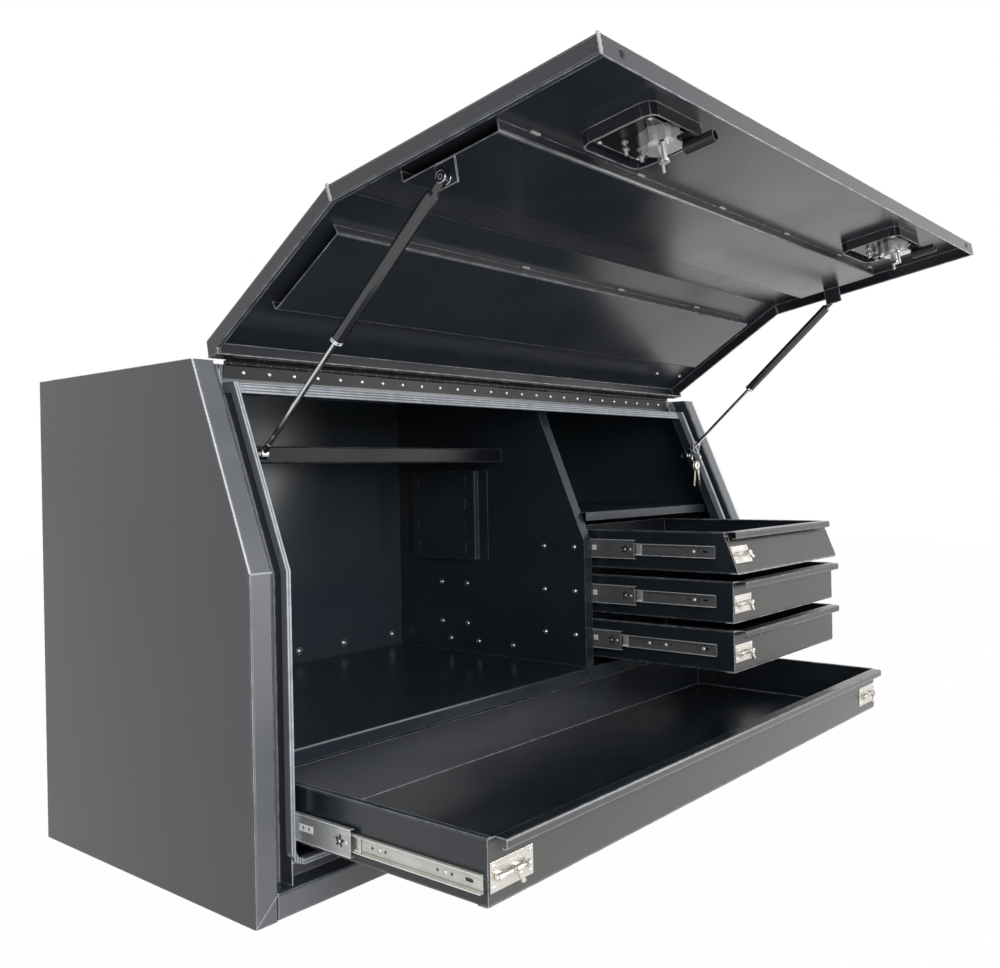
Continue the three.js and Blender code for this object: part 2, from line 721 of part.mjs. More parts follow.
function strutCylinder() {
  const inside = strutTubeRadius - strutWall;
  const tube = turnedZ([
    [0, strutNeck], [strutNeckRadius, strutNeck], [strutTubeRadius, strutNeck + strutNeckRadius],
    [strutTubeRadius, strutTubeEnd - strutWall], [inside, strutTubeEnd],
    [rodRadius + gap, strutTubeEnd], [rodRadius + gap, strutTubeEnd - strutGland],
    [inside, strutTubeEnd - strutGland], [inside, strutNeck + strutGland], [0, strutNeck + strutGland],
  ]);
  const neck = pinZ(0, 0, strutNeckRadius, socketRadius - strutWall / 2, strutNeck + strutWall);
  const socket = alongX(disc(0, 0, socketRadius, studRadius + gap), -socketLength / 2, socketLength / 2, 2);
  return fuse(tube, neck, socket);
}

function strutRod() {
  const rod = pinZ(0, 0, rodRadius, strutTubeEnd - rodHidden, strutLength - strutWall, 8);
  const neck = pinZ(0, 0, strutNeckRadius, strutLength - strutNeck, strutLength - strutWall);
  const socket = alongX(disc(0, strutLength, socketRadius), -socketLength / 2, socketLength / 2, 2);
  return fuse(rod, neck, socket);
}

// Keys: a tie round the rod, a split ring, and two keys that hang from it
function keySet() {
  const wire = keyTieWire / 2;
  const tie = new THREE.TorusGeometry(keyTieRadius, wire, 4, 10);
  const ring = new THREE.TorusGeometry(keyRingRadius, wire, 4, 12).rotateY(Math.PI / 2);
  const upright = tie.rotateX(Math.PI / 2);
  const hung = ring.translate(0, 0, -keyTieRadius - keyRingRadius + wire);
  const keys = [-1, 1].map((side) => {
    const head = disc(0, -keyHeadRadius, keyHeadRadius, keyHoleRadius);
    const face = extrude(head, keyThickness, 2);
    const blade = new THREE.BoxGeometry(keyWidth, keyLength, keyThickness)
      .translate(0, -keyHeadRadius - keyLength / 2, keyThickness / 2);
    const key = fuse(face, blade).translate(0, 0, -keyThickness / 2);
    return key.rotateX(Math.PI / 2).rotateY(side * Math.atan2(keyWidth, keyLength))
      .translate(0, side * keyThickness / 4, -keyTieRadius - 2 * keyRingRadius + keyHeadRadius / 2);
  });
  return fuse(upright, hung, ...keys);
}

// Ball slide members, left hand, drawn closed: outer on the cabinet, middle, and inner on the drawer
function slideHoles(place, from, length, count) {
  const holes = [];
  for (let i = 0; i < count; i += 1) {
    const y = from + slideHoleInset + (i * (length - 2 * slideHoleInset)) / (count - 1);
    const slot = roundedRect(y - slideSlotLength / 2, -slideHoleRadius, y + slideSlotLength / 2,
      slideHoleRadius, slideHoleRadius - gap);
    holes.push(alongX(slot, place - overrun / 2, place + overrun / 2, 1));
  }
  return holes;
}

function slideOuter() {
  const half = outerHeight / 2;
  const channel = alongY(foldedSheet([
    [outerReach, half - raceTurn], [outerReach, half], [0, half],
    [0, -half], [outerReach, -half], [outerReach, raceTurn - half],
  ], slideSheet, slideBend), outerFront, outerFront + outerLength);
  return cut(channel, ...slideHoles(0, outerFront, outerLength, slideHoleCount));
}

// On the right the outer members are spot welded to their support
const weldedOuter = (z) => mirrorX(slideOuter().translate(upstandInner - weldSink, 0, z));

function slideMiddle() {
  const half = middleHeight / 2;
  const channel = alongY(foldedSheet([
    [middleReach, half - raceTurn], [middleReach, half], [middleStart, half],
    [middleStart, -half], [middleReach, -half], [middleReach, raceTurn - half],
  ], slideSheet, slideBend), middleFront, middleFront + outerLength);
  return cut(channel, ...slideHoles(middleStart, middleFront, outerLength, slideHoleCount));
}

function slideInner(front, length) {
  const half = innerHeight / 2;
  const near = slideThickness - innerReach;
  const channel = alongY(foldedSheet([
    [near, raceTurn - half], [near, -half], [slideThickness, -half],
    [slideThickness, half], [near, half], [near, half - raceTurn],
  ], slideSheet, slideBend), front, front + length);
  return cut(channel, ...slideHoles(slideThickness, front, length, slideHoleCount));
}

// Drawer: bottom, sides and hems folded from one sheet, a back, and a front with a rolled pull
function drawerBox(left, right, low, height, depth, lean) {
  const high = low + height;
  const faceLow = closedFace - lean * leanShare;
  const faceHigh = faceLow + lean;
  const back = closedFace + depth;
  const tub = alongY(foldedSheet([
    [left + drawerHem, high], [left, high], [left, low], [right, low], [right, high], [right - drawerHem, high],
  ], drawerSheet, drawerBend), faceLow + drawerSheet / 2, back);
  const wedge = alongX(shapeOf([
    [faceLow + drawerSheet / 2, low - overrun], [faceLow + drawerSheet / 2, low],
    [faceHigh + drawerSheet / 2, high], [faceHigh + drawerSheet / 2, high + overrun],
    [faceLow - overrun, high + overrun], [faceLow - overrun, low - overrun],
  ]), left - overrun, right + overrun);
  const lip = high - drawerSheet;
  const front = alongX(foldedSheet([
    [faceHigh - lipReach + lipTurn, lip - lipDrop], [faceHigh - lipReach, lip - lipDrop],
    [faceHigh - lipReach, lip], [faceHigh, lip], [faceLow, low], [faceLow + frontReturn, low],
  ], drawerSheet, drawerBend), left, right);
  const lipCut = alongX(shapeOf([
    [faceHigh - lipReach - overrun, lip - lipDrop - overrun], [faceHigh - drawerSheet, lip - lipDrop - overrun],
    [faceHigh - drawerSheet, high + overrun], [faceHigh - lipReach - overrun, high + overrun],
  ]), left - overrun, left + lipEnd);
  const farCut = lipCut.clone().translate(right - left - lipEnd + overrun, 0, 0);
  const rear = block(left, right, back - drawerSheet, back, low, high);
  return fuse(lean > 0 ? cut(tub, wedge) : tub, cut(front, lipCut, farCut), rear);
}

// Barrel bolt on the drawer's face: drawn at the plate's lower outer corner, its knob to the front
const boltAxis = gap + boltPlateThickness + boltStandOff + boltRadius;

function boltPlate() {
  const half = boltPlateHeight / 2;
  const plate = block(0, boltPlateLength, -gap - boltPlateThickness, -gap, -half, half);
  const saddleRadius = boltRadius + saddleWall;
  const foot = -gap - boltPlateThickness / 2;
  const arch = new THREE.Shape();
  arch.moveTo(foot, saddleRadius);
  arch.lineTo(-boltAxis, saddleRadius);
  arch.absarc(-boltAxis, 0, saddleRadius, Math.PI / 2, Math.PI);
  arch.absarc(-boltAxis, 0, saddleRadius, Math.PI, Math.PI * 1.5);
  arch.lineTo(foot, -saddleRadius);
  arch.holes.push(disc(-boltAxis, 0, boltRadius + gap));
  const saddles = [saddleInset, boltPlateLength - saddleInset - saddleWidth]
    .map((from) => alongX(arch, from, from + saddleWidth, 1));
  return fuse(plate, ...saddles);
}

function boltRod() {
  const rod = pinX(-boltAxis, 0, boltRadius, saddleInset / 2, saddleInset / 2 + boltLength, 8);
  const knob = pinY(knobPlace, 0, knobRadius, -boltAxis - knobLength, -boltAxis, 8);
  return fuse(rod, knob);
}

// Materials: one for each mesh, so that each piece can be changed by itself
const finishes = {
  blackPaint: { color: 0x3a3c3d, roughness: 0.42, metalness: 0.3 },
  innerPaint: { color: 0x1d2329, roughness: 0.38, metalness: 0.3 },
  rubber: { color: 0x8d8f8e, roughness: 0.85, metalness: 0 },
  zinc: { color: 0xb9bcbb, roughness: 0.34, metalness: 0.9 },
  stainless: { color: 0xcfccc4, roughness: 0.28, metalness: 0.95 },
  dullSteel: { color: 0x5a5c5c, roughness: 0.5, metalness: 0.7 },
  strutBlack: { color: 0x15171a, roughness: 0.3, metalness: 0.4 },
};

function piece(name, geometry, finish) {
  const smooth = geometry.index ? geometry.toNonIndexed() : geometry;
  smooth.computeVertexNormals();
  const mesh = new THREE.Mesh(smooth, new THREE.MeshStandardMaterial(finishes[finish]));
  mesh.name = name;
  return mesh;
}

function placed(children, x = 0, y = 0, z = 0, turn = 0) {
  const group = new THREE.Group();
  group.position.set(x, y, z);
  group.rotation.x = turn;
  group.add(...children);
  return group;
}

const cabinet = placed([
  piece("cabinet_wrap", cabinetWrap(), "blackPaint"),
  piece("side_panel_left", sidePanel(), "blackPaint"),
  piece("side_panel_right", mirrorX(sidePanel()), "blackPaint"),
  piece("door_seal", doorSeal(), "rubber"),
  piece("hinge_cabinet_leaf", hingeCabinetLeaf(), "dullSteel"),
  piece("hinge_pin", hingePin(), "zinc"),
  piece("compartment_floor", compartmentFloor(), "innerPaint"),
  piece("divider_wall", dividerWall(), "innerPaint"),
  piece("upper_shelf", upperShelf(), "innerPaint"),
  piece("shelf_bracket_right", shelfBracket(dividerPlace - gap), "innerPaint"),
  piece("shelf_bracket_left", mirrorX(shelfBracket(0), inner), "innerPaint"),
  piece("bay_cover", bayCover(), "innerPaint"),
  piece("slide_support_left", lowerSupport(), "innerPaint"),
  piece("slide_support_right", fuse(mirrorX(lowerSupport()), weldedOuter(wideSlideZ)), "zinc"),
  piece("slide_support_upper", fuse(mirrorX(upperSupport()), ...slideHeights.map(weldedOuter)), "zinc"),
]);

// Drawers with their slides and bolts, each pulled out as far as the photograph shows
const drawerPlan = [
  { name: "top", wide: false, row: 2, lean: topDrawerLean },
  { name: "centre", wide: false, row: 1, lean: 0 },
  { name: "low", wide: false, row: 0, lean: 0 },
  { name: "wide", wide: true, row: 0, lean: 0 },
];
const slideOutside = gap + slideThickness + gap;

function drawerSet({ name, wide, row, lean }) {
  const pull = wide ? widePull : smallPull;
  const low = wide ? wideBottom : smallBottom + row * smallPitch;
  const height = wide ? wideHeight : smallHeight;
  const depth = wide ? wideDepth : smallDepth;
  const leftFace = wide ? upstandInner : slideFace;
  const slideZ = wide ? wideSlideZ : slideHeights[row];
  const innerFront = closedFace + (wide ? wideInnerSetBack : smallInnerSetBack);
  const innerLength = wide ? wideInnerLength : smallInnerLength;
  const left = leftFace + slideOutside;
  const right = mirrored(upstandInner + slideOutside);
  const leftX = leftFace + gap;
  const atLeft = (geometry) => geometry.clone().translate(leftX, 0, slideZ);
  const atRight = (geometry) => mirrorX(geometry.clone().translate(upstandInner + gap, 0, slideZ));
  const weldedInner = mirrorX(slideInner(innerFront, innerLength)
    .translate(upstandInner + 2 * gap + weldSink, 0, slideZ));
  const box = fuse(drawerBox(left, right, low, height, depth, lean), weldedInner);
  const middleShift = -pull * middleTravelShares[name];
  const leanAngle = Math.atan2(lean, height);
  const faceAtBolt = closedFace - lean * leanShare + (lean * boltRise) / height;
  const boltPieces = (hand) => [
    piece(`bolt_plate_${name}${hand}`, boltPlate(), "stainless"),
    piece(`bolt_rod_${name}${hand}`, boltRod(), "stainless"),
  ];
  const boltLeft = placed(boltPieces(wide ? "_left" : ""), left + boltFromEdge, faceAtBolt, low + boltRise,
    -leanAngle);
  const moving = [
    piece(`drawer_${name}`, box, "blackPaint"),
    piece(`slide_inner_${name}`, atLeft(slideInner(innerFront, innerLength)), "zinc"),
    boltLeft,
  ];
  if (wide) {
    const rightBolt = [
      piece("bolt_plate_wide_right", mirrorX(boltPlate(), 0), "stainless"),
      piece("bolt_rod_wide_right", mirrorX(boltRod(), 0), "stainless"),
    ];
    moving.push(placed(rightBolt, right - boltFromEdge, faceAtBolt, low + boltRise));
  }
  return placed([
    piece(`slide_outer_${name}`, atLeft(slideOuter()), "zinc"),
    placed([
      piece(`slide_middle_${name}_left`, atLeft(slideMiddle()), "zinc"),
      piece(`slide_middle_${name}_right`, atRight(slideMiddle()), "zinc"),
    ], 0, middleShift),
    placed(moving, 0, -pull),
  ]);
}

// Lid: its pieces are drawn closed and turned open about the hinge pin
const latchPlaces = { left: latchFromSide, right: mirrored(latchFromSide) };
const lidPieces = [
  piece("lid_shell", lidShell(), "blackPaint"),
  piece("lid_stiffener_slant", slantStiffener(), "blackPaint"),
  piece("lid_stiffener_door", doorStiffener(), "blackPaint"),
  piece("hinge_lid_leaf", hingeLidLeaf(), "dullSteel"),
];
for (const [side, x] of Object.entries(latchPlaces)) {
  lidPieces.push(
    piece(`latch_pan_${side}`, latchPan(x), "strutBlack"),
    piece(`latch_cam_${side}`, latchCam(x), "dullSteel"),
    piece(`latch_handle_${side}`, latchHandle(x), "stainless"),
  );
}
const lid = placed([placed(lidPieces, 0, -hingeY, -hingeZ)], 0, hingeY, hingeZ, -lidOpenAngle);

// Struts at rest: from the stud on the open lid down to the stud on the upstand
const strutTurn = Math.atan2(strutTopY - strutLowY, strutLowZ - strutTopZ);
const strut = (side, x) => placed([
  piece(`strut_cylinder_${side}`, strutCylinder(), "strutBlack"),
  piece(`strut_rod_${side}`, strutRod(), "zinc"),
], x, strutTopY, strutTopZ, strutTurn);
const tieShare = 1 - keyTieAlong / strutLength;
const rodRise = (rodRadius * strutLength) / (strutLowY - strutTopY);
const keys = placed(
  [piece("key_set", keySet(), "zinc")],
  mirrored(strutFromSide),
  strutTopY + (strutLowY - strutTopY) * tieShare,
  strutTopZ + (strutLowZ - strutTopZ) * tieShare + rodRise + keyTieWire - keyTieRadius,
);

const toolBox = new THREE.Group();
toolBox.name = "drawer_tool_box";
toolBox.add(cabinet, ...drawerPlan.map(drawerSet), lid, strut("left", strutFromSide),
  strut("right", mirrored(strutFromSide)), keys);
toolBox.position.set(-cabinetLength / 2, -cabinetDepth / 2, 0);

export default toolBox;
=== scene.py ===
import math
import bpy
from mathutils import Matrix, Vector


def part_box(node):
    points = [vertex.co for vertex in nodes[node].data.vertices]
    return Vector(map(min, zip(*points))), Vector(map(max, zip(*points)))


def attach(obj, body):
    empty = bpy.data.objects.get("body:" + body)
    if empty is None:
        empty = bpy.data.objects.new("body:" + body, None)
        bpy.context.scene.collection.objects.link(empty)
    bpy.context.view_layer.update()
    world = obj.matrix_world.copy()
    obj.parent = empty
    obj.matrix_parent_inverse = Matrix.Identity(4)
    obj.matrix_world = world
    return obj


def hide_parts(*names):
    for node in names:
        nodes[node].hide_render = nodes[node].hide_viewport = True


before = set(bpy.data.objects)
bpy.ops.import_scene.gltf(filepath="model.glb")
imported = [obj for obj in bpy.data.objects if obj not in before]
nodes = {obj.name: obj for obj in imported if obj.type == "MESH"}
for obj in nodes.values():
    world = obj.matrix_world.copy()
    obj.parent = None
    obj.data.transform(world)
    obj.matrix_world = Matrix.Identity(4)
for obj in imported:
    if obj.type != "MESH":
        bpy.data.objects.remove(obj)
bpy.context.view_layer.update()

# Studio: a white room with a pale floor that is seen as white and keeps a faint trace of the shadow, three
# broad soft lamps, and the camera where the photograph was taken, low in front of the left end.
def shader_node(tree, kind, settings=(), values=()):
    made = tree.nodes.new(kind)
    for label, value in settings:
        setattr(made, label, value)
    for label, value in values:
        made.inputs[label].default_value = value
    return made


def reckoned(tree, operation, *values, kind="ShaderNodeMath"):
    return shader_node(tree, kind, (("operation", operation),), values)


def wired(tree, *links):
    for giver, given, taker, taken in links:
        tree.links.new(giver.outputs[given], taker.inputs[taken])


white = (1.0, 1.0, 1.0, 1.0)
world = bpy.data.worlds.new("studio")
bpy.context.scene.world = world
world.use_nodes = True
sky = world.node_tree
sky.nodes.clear()
sky_out = shader_node(sky, "ShaderNodeOutputWorld")
sky_mix = shader_node(sky, "ShaderNodeMixShader")
sky_light = shader_node(sky, "ShaderNodeBackground", (), (
    ("Color", (0.93, 0.96, 1.0, 1.0)), ("Strength", 0.62)))
sky_seen = shader_node(sky, "ShaderNodeBackground", (), (("Color", white), ("Strength", 1.0)))
sky_path = shader_node(sky, "ShaderNodeLightPath")
sky_any = reckoned(sky, "MAXIMUM")
sky_all = reckoned(sky, "MAXIMUM")
wired(sky, (sky_path, "Is Camera Ray", sky_any, 0), (sky_path, "Is Glossy Ray", sky_any, 1),
      (sky_any, 0, sky_all, 0), (sky_path, "Is Transmission Ray", sky_all, 1), (sky_all, 0, sky_mix, "Fac"),
      (sky_light, 0, sky_mix, 1), (sky_seen, 0, sky_mix, 2), (sky_mix, 0, sky_out, "Surface"))

floor_size, white_share = 14.0, 0.985
bpy.ops.object.select_all(action="DESELECT")
bpy.ops.mesh.primitive_plane_add(size=floor_size, location=(0.0, 0.0, 0.0))
floor = bpy.context.object
floor.name = "studio_floor"
floor_paint = bpy.data.materials.new("studio_floor_paint")
floor_paint.use_nodes = True
floor_tree = floor_paint.node_tree
floor_tree.nodes.clear()
floor_out = shader_node(floor_tree, "ShaderNodeOutputMaterial")
floor_mix = shader_node(floor_tree, "ShaderNodeMixShader")
floor_matt = shader_node(floor_tree, "ShaderNodeBsdfDiffuse", (), (("Color", (0.72, 0.72, 0.73, 1.0)),))
floor_glow = shader_node(floor_tree, "ShaderNodeEmission", (), (("Color", white),))
floor_path = shader_node(floor_tree, "ShaderNodeLightPath")
floor_any = reckoned(floor_tree, "MAXIMUM")
floor_share = reckoned(floor_tree, "MULTIPLY", (1, white_share))
wired(floor_tree, (floor_path, "Is Camera Ray", floor_any, 0), (floor_path, "Is Glossy Ray", floor_any, 1),
      (floor_any, 0, floor_share, 0), (floor_share, 0, floor_mix, "Fac"), (floor_matt, 0, floor_mix, 1),
      (floor_glow, 0, floor_mix, 2), (floor_mix, 0, floor_out, "Surface"))
floor.data.materials.append(floor_paint)

for lamp_name, lamp_place, lamp_aim, lamp_size, lamp_power in (
        ("lamp_left", (-1.6, -3.2, 1.7), (-0.3, 0.0, 0.5), 2.2, 72.0),
        ("lamp_right", (2.4, -3.0, 1.0), (0.4, -0.5, 0.3), 1.8, 44.0),
        ("lamp_above", (0.2, -0.6, 3.4), (0.0, -0.2, 0.5), 2.6, 34.0)):
    lamp_data = bpy.data.lights.new(lamp_name, "AREA")
    lamp_data.size = lamp_size
    lamp_data.energy = lamp_power
    lamp = bpy.data.objects.new(lamp_name, lamp_data)
    bpy.context.scene.collection.objects.link(lamp)
    lamp.location = lamp_place
    lamp.rotation_mode = "QUATERNION"
    lamp.rotation_quaternion = (Vector(lamp_aim) - Vector(lamp_place)).to_track_quat("-Z", "Y")

camera_place = (-1.57253, -1.45606, 0.62090)
camera_yaw, camera_pitch, camera_roll = 0.869415, 0.001444, -0.019673
ahead = Vector((math.sin(camera_yaw) * math.cos(camera_pitch), math.cos(camera_yaw) * math.cos(camera_pitch),
                math.sin(camera_pitch)))
level_right = Vector((math.cos(camera_yaw), -math.sin(camera_yaw), 0.0))
level_up = level_right.cross(ahead)
right = level_right * math.cos(camera_roll) + level_up * math.sin(camera_roll)
up = level_up * math.cos(camera_roll) - level_right * math.sin(camera_roll)
camera_data = bpy.data.cameras.new("photo_camera")
camera_data.lens = 36.274
camera_data.sensor_width = 36.0
camera_data.shift_x = 0.00324
camera_data.shift_y = -0.01056
camera = bpy.data.objects.new("photo_camera", camera_data)
bpy.context.scene.collection.objects.link(camera)
camera.matrix_world = Matrix.Translation(camera_place) @ Matrix((
    (right.x, up.x, -ahead.x), (right.y, up.y, -ahead.y), (right.z, up.z, -ahead.z))).to_4x4()
bpy.context.scene.camera = camera
bpy.context.scene.view_settings.view_transform = "Standard"

# Cabinet: bottom, back and top wrapped from one sheet, with a folded side panel at each end. Steel sheet,
# welded at the corners, then powder coated satin black; the coat has a fine orange peel. Its edges are painted
# pale, partly wear where the coat thins and partly a painted highlight; the faces that look forward carry a
# painted light, and the faces inside the opening a blue-black painted shade.
def shader_group(name, takes, gives):
    group = bpy.data.node_groups.new(name, "ShaderNodeTree")
    for label, kind, value in takes:
        group.interface.new_socket(label, in_out="INPUT", socket_type="NodeSocket" + kind).default_value = value
    for label, kind in gives:
        group.interface.new_socket(label, in_out="OUTPUT", socket_type="NodeSocket" + kind)
    return group, group.nodes.new("NodeGroupInput"), group.nodes.new("NodeGroupOutput")


def placed(tree, group, *values):
    return shader_node(tree, "ShaderNodeGroup", (("node_tree", group),), values)


def found(tree, group):
    return next(part for part in tree.nodes if part.type == "GROUP" and part.node_tree == group)


def noise(tree, scale, detail):
    return shader_node(tree, "ShaderNodeTexNoise", (), (("Scale", scale), ("Detail", detail)))


def new_finish(name):
    finish = bpy.data.materials.new(name)
    finish.use_nodes = True
    return finish, finish.node_tree, finish.node_tree.nodes["Principled BSDF"]


dark_grey = (0.05, 0.05, 0.05, 1.0)
# Edge marks: a mask from rounded normals paints the coat paler along every edge, partly wear where the coat
# thins and partly a painted highlight where the edges catch the light.
edge_wear_and_highlight, edge_mark_in, edge_mark_out = shader_group("coat_edge_wear_and_highlight", (
    ("Coat", "Color", dark_grey), ("Edge", "Color", (0.3, 0.3, 0.3, 1.0)), ("Width", "Float", 0.0012),
    ("Wear and highlight", "Float", 0.6)), (("Color", "Color"),))
edge_mark_round = shader_node(edge_wear_and_highlight, "ShaderNodeBevel", (("samples", 4),))
edge_mark_face = shader_node(edge_wear_and_highlight, "ShaderNodeNewGeometry")
edge_mark_turn = reckoned(edge_wear_and_highlight, "DOT_PRODUCT", kind="ShaderNodeVectorMath")
edge_mark_range = shader_node(edge_wear_and_highlight, "ShaderNodeMapRange", (), (("From Min", 0.995), ("From Max", 0.86)))
edge_mark_place = shader_node(edge_wear_and_highlight, "ShaderNodeTexCoord")
edge_mark_patch = noise(edge_wear_and_highlight, 42.0, 5.0)
edge_mark_patches = shader_node(edge_wear_and_highlight, "ShaderNodeMapRange", (), (
    ("From Min", 0.36), ("From Max", 0.62), ("To Min", 0.35)))
edge_mark_product = reckoned(edge_wear_and_highlight, "MULTIPLY")
edge_mark_amount = reckoned(edge_wear_and_highlight, "MULTIPLY")
edge_mark_mix = shader_node(edge_wear_and_highlight, "ShaderNodeMixRGB")
wired(edge_wear_and_highlight, (edge_mark_in, "Width", edge_mark_round, "Radius"), (edge_mark_round, "Normal", edge_mark_turn, 0),
      (edge_mark_face, "Normal", edge_mark_turn, 1), (edge_mark_turn, "Value", edge_mark_range, "Value"),
      (edge_mark_place, "Object", edge_mark_patch, "Vector"), (edge_mark_patch, "Fac", edge_mark_patches, "Value"),
      (edge_mark_range, 0, edge_mark_product, 0), (edge_mark_patches, 0, edge_mark_product, 1), (edge_mark_product, 0, edge_mark_amount, 0),
      (edge_mark_in, "Wear and highlight", edge_mark_amount, 1), (edge_mark_amount, 0, edge_mark_mix, "Fac"),
      (edge_mark_in, "Coat", edge_mark_mix, "Color1"), (edge_mark_in, "Edge", edge_mark_mix, "Color2"),
      (edge_mark_mix, "Color", edge_mark_out, "Color"))

coat_relief, relief_in, relief_out = shader_group("coat_relief", (
    ("Peel", "Float", 0.00002), ("Waves", "Float", 0.03), ("Rough low", "Float", 0.3),
    ("Rough high", "Float", 0.42)), (("Normal", "Vector"), ("Roughness", "Float"), ("Cloud", "Float")))
relief_place = shader_node(coat_relief, "ShaderNodeTexCoord")
relief_peel = noise(coat_relief, 620.0, 2.0)
relief_wave = noise(coat_relief, 4.2, 1.0)
relief_cloud = noise(coat_relief, 6.0, 1.5)
relief_rough = shader_node(coat_relief, "ShaderNodeMapRange", (("interpolation_type", "SMOOTHSTEP"),), (
    ("From Min", 0.15), ("From Max", 0.85)))
relief_fine = shader_node(coat_relief, "ShaderNodeBump", (), (("Strength", 1.0),))
relief_face = shader_node(coat_relief, "ShaderNodeNewGeometry")
relief_middle = reckoned(coat_relief, "SUBTRACT", (1, (0.5, 0.5, 0.5)), kind="ShaderNodeVectorMath")
relief_amount = reckoned(coat_relief, "SCALE", kind="ShaderNodeVectorMath")
relief_bent = reckoned(coat_relief, "ADD", kind="ShaderNodeVectorMath")
relief_unit = reckoned(coat_relief, "NORMALIZE", kind="ShaderNodeVectorMath")
wired(coat_relief, (relief_place, "Object", relief_peel, "Vector"),
      (relief_place, "Object", relief_wave, "Vector"), (relief_place, "Object", relief_cloud, "Vector"),
      (relief_wave, "Color", relief_middle, 0), (relief_middle, 0, relief_amount, 0),
      (relief_in, "Waves", relief_amount, "Scale"), (relief_face, "Normal", relief_bent, 0),
      (relief_amount, 0, relief_bent, 1), (relief_bent, 0, relief_unit, 0),
      (relief_peel, "Fac", relief_fine, "Height"), (relief_in, "Peel", relief_fine, "Distance"),
      (relief_unit, 0, relief_fine, "Normal"), (relief_cloud, "Fac", relief_rough, "Value"),
      (relief_in, "Rough low", relief_rough, "To Min"), (relief_in, "Rough high", relief_rough, "To Max"),
      (relief_fine, "Normal", relief_out, "Normal"), (relief_rough, 0, relief_out, "Roughness"),
      (relief_cloud, "Fac", relief_out, "Cloud"))

# Faces mask: paints the second colour on faces that look one way. It carries painted light on faces that look
# forward and painted shade on faces inside the opening.
faced, faced_in, faced_out = shader_group("coat_faces", (
    ("First", "Color", dark_grey), ("Second", "Color", dark_grey), ("Place share", "Float", 1.0),
    ("Offset", "Vector", (0.0, 0.0, 0.0)), ("Limit", "Float", 0.0)), (("Color", "Color"),))
faced_place = shader_node(faced, "ShaderNodeTexCoord")
faced_scaled = reckoned(faced, "SCALE", kind="ShaderNodeVectorMath")
faced_moved = reckoned(faced, "ADD", kind="ShaderNodeVectorMath")
faced_turn = reckoned(faced, "DOT_PRODUCT", kind="ShaderNodeVectorMath")
faced_side = reckoned(faced, "LESS_THAN")
faced_mix = shader_node(faced, "ShaderNodeMixRGB")
wired(faced, (faced_place, "Object", faced_scaled, 0), (faced_in, "Place share", faced_scaled, "Scale"),
      (faced_scaled, 0, faced_moved, 0), (faced_in, "Offset", faced_moved, 1),
      (faced_place, "Normal", faced_turn, 0), (faced_moved, 0, faced_turn, 1),
      (faced_turn, "Value", faced_side, 0), (faced_in, "Limit", faced_side, 1),
      (faced_side, 0, faced_mix, "Fac"), (faced_in, "First", faced_mix, "Color1"),
      (faced_in, "Second", faced_mix, "Color2"), (faced_mix, "Color", faced_out, "Color"))

beyond, beyond_in, beyond_out = shader_group("beyond_plane", (
    ("Here", "Color", dark_grey), ("There", "Color", dark_grey), ("Direction", "Vector", (1.0, 0.0, 0.0)),
    ("Limit", "Float", 0.0), ("Metal here", "Float", 0.0), ("Metal change", "Float", 0.0)),
    (("Color", "Color"), ("Metal", "Float")))
beyond_place = shader_node(beyond, "ShaderNodeTexCoord")
beyond_along = reckoned(beyond, "DOT_PRODUCT", kind="ShaderNodeVectorMath")
beyond_far = reckoned(beyond, "GREATER_THAN")
beyond_metal = reckoned(beyond, "MULTIPLY_ADD")
beyond_mix = shader_node(beyond, "ShaderNodeMixRGB")
wired(beyond, (beyond_place, "Object", beyond_along, 0), (beyond_in, "Direction", beyond_along, 1),
      (beyond_along, "Value", beyond_far, 0), (beyond_in, "Limit", beyond_far, 1),
      (beyond_far, 0, beyond_metal, 0), (beyond_in, "Metal change", beyond_metal, 1),
      (beyond_in, "Metal here", beyond_metal, 2), (beyond_far, 0, beyond_mix, "Fac"),
      (beyond_in, "Here", beyond_mix, "Color1"), (beyond_in, "There", beyond_mix, "Color2"),
      (beyond_mix, "Color", beyond_out, "Color"), (beyond_metal, 0, beyond_out, "Metal"))


def painted_beyond(material, direction, limit, there, metal_here, metal_there):
    tree = material.node_tree
    shader = tree.nodes["Principled BSDF"]
    split = placed(tree, beyond, ("There", (*there, 1.0)), ("Direction", direction), ("Limit", limit),
                   ("Metal here", metal_here), ("Metal change", metal_there - metal_here))
    tree.links.new(shader.inputs["Base Color"].links[0].from_socket, split.inputs["Here"])
    wired(tree, (split, "Color", shader, "Base Color"), (split, "Metal", shader, "Metallic"))


def powder_coat(name, dark, light, edge, rough, waves=0.0, edge_strength=1.0, edge_width=0.0012, coat=0.0, gloss=0.62,
                second=None):
    paint, tree, shader = new_finish(name)
    relief = placed(tree, coat_relief, ("Waves", waves), ("Rough low", rough[0]), ("Rough high", rough[1]))
    edge_marked = placed(tree, edge_wear_and_highlight, ("Edge", (*edge, 1.0)), ("Wear and highlight", edge_strength), ("Width", edge_width))
    tint = shader_node(tree, "ShaderNodeMixRGB", (), (("Color1", (*dark, 1.0)), ("Color2", (*light, 1.0))))
    wired(tree, (relief, "Cloud", tint, "Fac"), (tint, "Color", edge_marked, "Coat"),
          (edge_marked, "Color", shader, "Base Color"), (relief, "Roughness", shader, "Roughness"),
          (relief, "Normal", shader, "Normal"))
    # Painted light: the faces that look forward get the second tint.
    if second:
        to_front = placed(tree, faced, ("Second", (*second, 1.0)), ("Place share", 0.0),
                          ("Offset", (0.0, 1.0, 0.0)), ("Limit", -0.5))
        wired(tree, (tint, "Color", to_front, "First"), (to_front, "Color", edge_marked, "Coat"))
    shader.inputs["Specular IOR Level"].default_value = gloss
    shader.inputs["Coat Weight"].default_value = coat
    shader.inputs["Coat Roughness"].default_value = 0.12
    return paint


